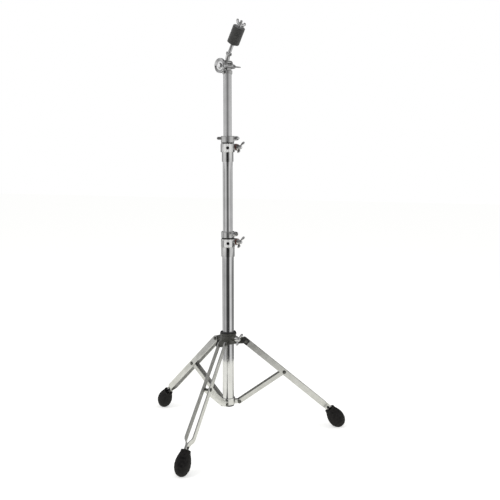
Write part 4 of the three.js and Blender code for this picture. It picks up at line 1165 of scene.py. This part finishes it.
class STAND_OT_cymbal_rod(bpy.types.Operator):
    """Makes the cymbal rod with a cut thread above its plain shank"""

    bl_idname = "stand.cymbal_rod"
    bl_label = "Cymbal Rod"

    def execute(self, context):
        size = context.scene.stand_rod
        grid = self.threaded(size, *rod_frame())
        put_in_place("cymbal_rod", grid_mesh(grid), sharp=math.radians(70))
        return {"FINISHED"}

    @staticmethod
    def threaded(size, foot, axis, side):
        """Points of the rod.

        Below the shoulder the radius is the shank's. Above it, it is the thread's less
        the depth times how far the point is from the helix: twice the distance of
        (height / pitch - turn) from the nearest whole number. Both ends taper off.
        """
        sides, socket_end, socket_radius = 36, -0.009, 0.003
        shoulder, tip = size.shank_length, size.shank_length + size.thread_length
        bevel, tip_bevel = 0.0004, 0.0008
        shank = np.array([
            [0, socket_end], [socket_radius - bevel, socket_end],
            [socket_radius, socket_end + bevel], [socket_radius, SEAT_GAP],
            [size.shank_radius, SEAT_GAP], [size.shank_radius, shoulder - bevel],
            [size.shank_radius - bevel, shoulder],
        ])
        height = np.arange(shoulder, tip - tip_bevel, size.pitch / 7)
        thread = np.stack([np.full(len(height), size.thread_radius), height], 1)
        cap = np.array([[size.thread_radius - tip_bevel, tip], [0, tip]])
        outline = np.concatenate([shank, thread, cap])
        phase = outline[:, 1, None] / size.pitch - turn_angles(sides)[None] / (2 * np.pi)
        groove = 2 * np.abs(phase - np.round(phase))
        cut = np.zeros(len(outline))
        cut[len(shank):len(shank) + len(thread)] = size.thread_depth
        radius = np.maximum(outline[:, :1] - cut[:, None] * groove, 0)
        return turned_points(outline, foot, axis, side, sides, radius)


class STAND_OT_felts(bpy.types.Operator):
    """Makes the two felts, with rounded edges and walls that are not quite even"""

    bl_idname = "stand.felts"
    bl_label = "Felts"

    def execute(self, context):
        size = context.scene.stand_felts
        foot, axis, side = rod_frame()
        seats = rod_seats(context.scene)
        felts = (("lower_felt", size.lower_length, 0.0), ("upper_felt", size.upper_length, 2.1))
        for node, length, phase in felts:
            grid = self.matted(size, foot + axis * seats[node], axis, side, length, phase)
            put_in_place(node, grid_mesh(grid))
        return {"FINISHED"}

    @staticmethod
    def matted(size, seat, axis, side, length, phase):
        """Points of a felt.

        A turned wall with rounded edges, drawn in by an unevenness: the fuzz times the
        mean of three waves round the wall and along it, which keeps it inside its solid.
        """
        wall, rows, sides, even_bore = size.radius, 24, 96, 0.002
        edge = rounded_outline(
            [[size.bore, 0], [wall, 0], [wall, length], [size.bore, length]],
            [0.0003, size.edge, size.edge, 0.0003], steps=6,
        )
        heights = np.linspace(size.edge, length - size.edge, rows)
        split = len(edge) // 2
        outline = np.concatenate([
            edge[:split], np.stack([np.full(rows, wall), heights], 1), edge[split:],
        ])
        # Each wave's number round the wall, its radians a metre up it, and its phases
        kinds = ((5, 700, 1), (11, -1300, 2), (17, 2100, -1))
        angles, height = turn_angles(sides)[None], outline[:, 1, None]
        waves = sum(
            np.sin(number * angles + climb * height + phases * phase)
            for number, climb, phases in kinds
        ) / len(kinds)
        outer = outline[:, :1] > size.bore + even_bore
        radius = outline[:, :1] - np.where(outer, size.fuzz * (1 + waves), 0)
        return turned_points(outline, seat, axis, side, sides, radius)


class STAND_OT_studio(bpy.types.Operator):
    """Makes the camera, the pale floor, the lamps and what the chrome mirrors"""

    bl_idname = "stand.studio"
    bl_label = "Studio"

    def execute(self, context):
        size = context.scene.stand_studio
        scene = context.scene
        scene.view_settings.view_transform = "Standard"
        self.make_camera(scene, size)
        self.make_floor(scene, size)
        self.make_cards(scene)
        self.make_room_light(scene, size)
        self.make_lamp(scene, "key_lamp", (-1.3, -1.6, 2.1), size.key_power)
        self.make_lamp(scene, "fill_lamp", (1.9, 0.3, 1.5), size.fill_power)
        return {"FINISHED"}

    @staticmethod
    def make_camera(scene, size):
        """The camera stands and looks as the photograph's does."""
        lens = bpy.data.cameras.new("camera")
        lens.lens = size.lens
        lens.sensor_width = 36
        camera = bpy.data.objects.new("camera", lens)
        camera.location = size.camera_place
        camera.rotation_euler = Euler(size.camera_turn, "XYZ")
        scene.collection.objects.link(camera)
        scene.camera = camera

    @staticmethod
    def background_rays(tree):
        """1 for rays that see the background as it is: straight, mirrored or let through."""
        rays = add_node(tree, "ShaderNodeLightPath").outputs
        straight = add_node(
            tree, "ShaderNodeMath", operation="MAXIMUM",
            links={0: rays["Is Camera Ray"], 1: rays["Is Glossy Ray"]},
        ).outputs["Value"]
        return add_node(
            tree, "ShaderNodeMath", operation="MAXIMUM",
            links={0: straight, 1: rays["Is Transmission Ray"]},
        ).outputs["Value"]

    @staticmethod
    def make_floor(scene, size):
        """A wide pale floor that goes to white where it is seen, under the soft shadow.

        It goes down with the tubes when the tripod is folded, clear of the feet.
        """
        half = 9.0
        mesh = bpy.data.meshes.new("floor")
        mesh.from_pydata(
            [(-half, -half, 0), (half, -half, 0), (half, half, 0), (-half, half, 0)], [],
            [(0, 1, 2, 3)],
        )
        floor = bpy.data.objects.new("floor", mesh)
        scene.collection.objects.link(floor)
        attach(floor, "base_column")
        material, tree = new_material("studio_floor_paint")
        shader = tree.nodes["Principled BSDF"]
        shader.inputs["Base Color"].default_value = (*size.floor_colour, 1)
        shader.inputs["Roughness"].default_value = 0.9
        shader.inputs["Specular IOR Level"].default_value = 0
        rays = add_node(tree, "ShaderNodeLightPath").outputs
        lift = add_node(
            tree, "ShaderNodeMapRange", values={"To Min": 0, "To Max": size.floor_lift},
            links={"Value": rays["Is Camera Ray"]},
        ).outputs["Result"]
        both_lifts = add_node(
            tree, "ShaderNodeMapRange", values={"To Max": size.floor_gleam},
            links={"Value": rays["Is Glossy Ray"], "To Min": lift},
        ).outputs["Result"]
        tint = add_node(
            tree, "ShaderNodeMix", data_type="RGBA",
            values={MIX_FIRST: srgb("#FFFFFF"), MIX_SECOND: srgb("#FFFFEE")},
            links={MIX_SHARE: rays["Is Glossy Ray"]},
        ).outputs[MIX_RESULT]
        glow = add_node(tree, "ShaderNodeEmission", links={"Strength": both_lifts, "Color": tint})
        both = add_node(
            tree, "ShaderNodeAddShader", links={0: shader.outputs["BSDF"], 1: glow.outputs["Emission"]}
        )
        output = tree.nodes["Material Output"]
        tree.links.new(both.outputs["Shader"], output.inputs["Surface"])
        mesh.materials.append(material)

    @staticmethod
    def card_bands(tree, share, stops):
        """Brightness by the direction from the stand, in degrees from the camera's."""
        bands = add_node(tree, "ShaderNodeValToRGB", links={"Fac": share})
        ramp = bands.color_ramp
        ramp.elements.remove(ramp.elements[-1])
        ramp.elements[0].color = srgb(stops[0][1])
        for turn, level in stops:
            ramp.elements.new((turn + 180) / 360).color = srgb(level)
        return bands.outputs["Color"]

    def make_cards(self, scene):
        """Dark flags and bright cards round the stand, seen only in what is glossy.

        They are one surface: a ring on the floor that turns up into a round wall and
        closes overhead. Its brightness goes by the direction from the stand, in bands
        that change with the height.
        """
        card_glow = 1.3
        angles = np.linspace(-np.pi, np.pi, 145)
        # Radius and height of the ring, the wall and the roof
        profile = np.array([
            [0.72, 0.002], [2.9, 0.002], [3.1, 0.1], [3.1, 2.4], [2.4, 3.2], [0.01, 3.5],
        ])
        around = np.stack([np.cos(angles), np.sin(angles)], 1)
        flat = profile[:, 0, None, None] * around[None] + column_centre()[:2]
        height = np.broadcast_to(profile[:, 1, None, None], (*flat.shape[:2], 1))
        points = np.concatenate([flat, height], -1)
        rows, columns = points.shape[:2]
        row, column = np.arange(rows - 1)[:, None], np.arange(columns - 1)[None]
        faces = np.stack([
            row * columns + column, row * columns + column + 1, (row + 1) * columns + column + 1,
            (row + 1) * columns + column,
        ], -1).reshape(-1, 4)
        mesh = bpy.data.meshes.new("studio_cards")
        mesh.from_pydata(points.reshape(-1, 3).tolist(), [], faces.tolist())
        cards = bpy.data.objects.new("studio_cards", mesh)
        scene.collection.objects.link(cards)
        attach(cards, "base_column")
        cards.visible_camera = False
        cards.visible_diffuse = False
        cards.visible_shadow = False
        cards.visible_transmission = False
        material, tree = new_material("studio_flag_cloth")
        tree.nodes.clear()
        place = add_node(tree, "ShaderNodeTexCoord").outputs["Object"]
        centred = add_node(
            tree, "ShaderNodeMapping", vector_type="TEXTURE",
            values={"Location": tuple(column_centre()), "Rotation": (0, 0, CAMERA_SIDE)},
            links={"Vector": place},
        ).outputs["Vector"]
        parts = add_node(tree, "ShaderNodeSeparateXYZ", links={"Vector": centred}).outputs
        angle = add_node(
            tree, "ShaderNodeMath", operation="ARCTAN2", links={0: parts["Y"], 1: parts["X"]}
        ).outputs["Value"]
        share = add_node(
            tree, "ShaderNodeMapRange", values={"From Min": -math.pi, "From Max": math.pi},
            links={"Value": angle},
        ).outputs["Result"]
        # Floor ring: a black flag behind the camera, white cards beside it
        shade = self.card_bands(tree, share, (
            (-165, "#484848"), (-125, "#C0C0C0"), (-85, "#949494"), (-55, "#B8B8B8"),
            (-22, "#404040"), (8, "#303030"), (20, "#505050"), (42, "#D8D8D8"),
            (62, "#D0D0D0"), (98, "#5C5C5C"), (125, "#909090"), (165, "#404040"),
        ))
        # What the collars mirror: a deep black band between two bright ones
        collars = (
            (-165, "#282828"), (-120, "#B0B0B0"), (-85, "#E0E0E0"), (-45, "#DCDCDC"),
            (-18, "#141414"), (16, "#141414"), (45, "#E0E0E0"), (85, "#D8D8D8"),
            (135, "#505050"), (165, "#282828"),
        )
        # The wall by height, the level that the tilter mirrors, and overhead
        levels = (
            (0.05, 0.065, collars),
            (0.12, 0.16, (
                (-165, "#404040"), (-120, "#C8C8C8"), (-85, "#8C8C8C"), (-50, "#D0D0D0"),
                (-10, "#606060"), (4, "#303030"), (38, "#D0D0D0"), (80, "#989898"),
                (120, "#C8C8C8"), (165, "#404040"),
            )),
            (0.61, 0.63, collars),
            (0.72, 0.76, (
                (-165, "#646464"), (-120, "#BCBCBC"), (-45, "#B4B4B4"), (0, "#6C6C6C"),
                (55, "#B8B8B8"), (115, "#C0C0C0"), (165, "#484848"),
            )),
            (1.185, 1.21, (
                (-165, "#444444"), (-130, "#444444"), (-112, "#FCFCFC"), (-82, "#FCFCFC"),
                (-68, "#505050"), (-40, "#505050"), (0, "#787878"), (100, "#888888"), (165, "#585858"),
            )),
            (1.45, 1.7, (
                (-165, "#808080"), (-100, "#A8A8A8"), (-50, "#747474"), (165, "#808080"),
            )),
        )
        for start, end, stops in levels:
            rise = add_node(
                tree, "ShaderNodeMapRange", values={"From Min": start, "From Max": end},
                links={"Value": parts["Z"]},
            ).outputs["Result"]
            band = self.card_bands(tree, share, stops)
            shade = add_node(
                tree, "ShaderNodeMix", data_type="RGBA",
                links={MIX_SHARE: rise, MIX_FIRST: shade, MIX_SECOND: band},
            ).outputs[MIX_RESULT]
        glow = add_node(
            tree, "ShaderNodeEmission", values={"Strength": card_glow}, links={"Color": shade}
        )
        output = add_node(tree, "ShaderNodeOutputMaterial")
        tree.links.new(glow.outputs["Emission"], output.inputs["Surface"])
        mesh.materials.append(material)

    def make_room_light(self, scene, size):
        """White where it is seen, and a softer even light on everything."""
        world = bpy.data.worlds.new("studio")
        scene.world = world
        world.use_nodes = True
        tree = world.node_tree
        background = tree.nodes["Background"]
        background.inputs["Color"].default_value = srgb("#FFFFFF")
        strength = add_node(
            tree, "ShaderNodeMapRange", values={"To Min": size.ambient, "To Max": 1.0},
            links={"Value": self.background_rays(tree)},
        ).outputs["Result"]
        tree.links.new(strength, background.inputs["Strength"])

    @staticmethod
    def make_lamp(scene, name, place, power):
        """A soft rectangular lamp that points at the middle of the stand."""
        light = bpy.data.lights.new(name, "AREA")
        light.shape = "RECTANGLE"
        light.size, light.size_y = 1.2, 1.6
        light.energy = power
        lamp = bpy.data.objects.new(name, light)
        lamp.visible_glossy = False
        lamp.location = place
        aim = (CAD_BOX[0] + CAD_BOX[1]) / 2 - lamp.location
        lamp.rotation_euler = aim.to_track_quat("-Z", "Y").to_euler()
        scene.collection.objects.link(lamp)


OPERATORS = (
    STAND_OT_tubes,
    STAND_OT_castings,
    STAND_OT_legs,
    STAND_OT_feet,
    STAND_OT_plastics,
    STAND_OT_washers,
    STAND_OT_hardware,
    STAND_OT_wing_nuts,
    STAND_OT_tilter_disc,
    STAND_OT_cymbal_rod,
    STAND_OT_felts,
    STAND_OT_studio,
)
SETTINGS = {
    "stand_tubes": TubeSettings,
    "stand_edges": EdgeSettings,
    "stand_feet": FootSettings,
    "stand_wings": WingSettings,
    "stand_rod": RodSettings,
    "stand_felts": FeltSettings,
    "stand_studio": StudioSettings,
}


class STAND_PT_panel(bpy.types.Panel):
    """Lists the operators and their settings"""

    bl_idname = "STAND_PT_panel"
    bl_label = "Cymbal Stand"
    bl_space_type = "VIEW_3D"
    bl_region_type = "UI"
    bl_category = "Cymbal Stand"

    def draw(self, context):
        for operator in OPERATORS:
            self.layout.operator(operator.bl_idname)
        for group in SETTINGS:
            settings = getattr(context.scene, group)
            box = self.layout.box()
            for name in settings.__annotations__:
                box.prop(settings, name)


def register():
    for group in SETTINGS.values():
        bpy.utils.register_class(group)
    for name, group in SETTINGS.items():
        setattr(bpy.types.Scene, name, PointerProperty(type=group))
    for operator in OPERATORS:
        bpy.utils.register_class(operator)
    bpy.utils.register_class(STAND_PT_panel)


def unregister():
    bpy.utils.unregister_class(STAND_PT_panel)
    for operator in reversed(OPERATORS):
        bpy.utils.unregister_class(operator)
    for name in SETTINGS:
        delattr(bpy.types.Scene, name)
    for group in reversed(SETTINGS.values()):
        bpy.utils.unregister_class(group)


def main():
    register()
    bpy.ops.stand.tubes()
    bpy.ops.stand.castings()
    bpy.ops.stand.legs()
    bpy.ops.stand.feet()
    bpy.ops.stand.plastics()
    bpy.ops.stand.washers()
    bpy.ops.stand.hardware()
    bpy.ops.stand.wing_nuts()
    bpy.ops.stand.tilter_disc()
    bpy.ops.stand.cymbal_rod()
    bpy.ops.stand.felts()
    bpy.ops.stand.studio()


if __name__ == "__main__":
    main()
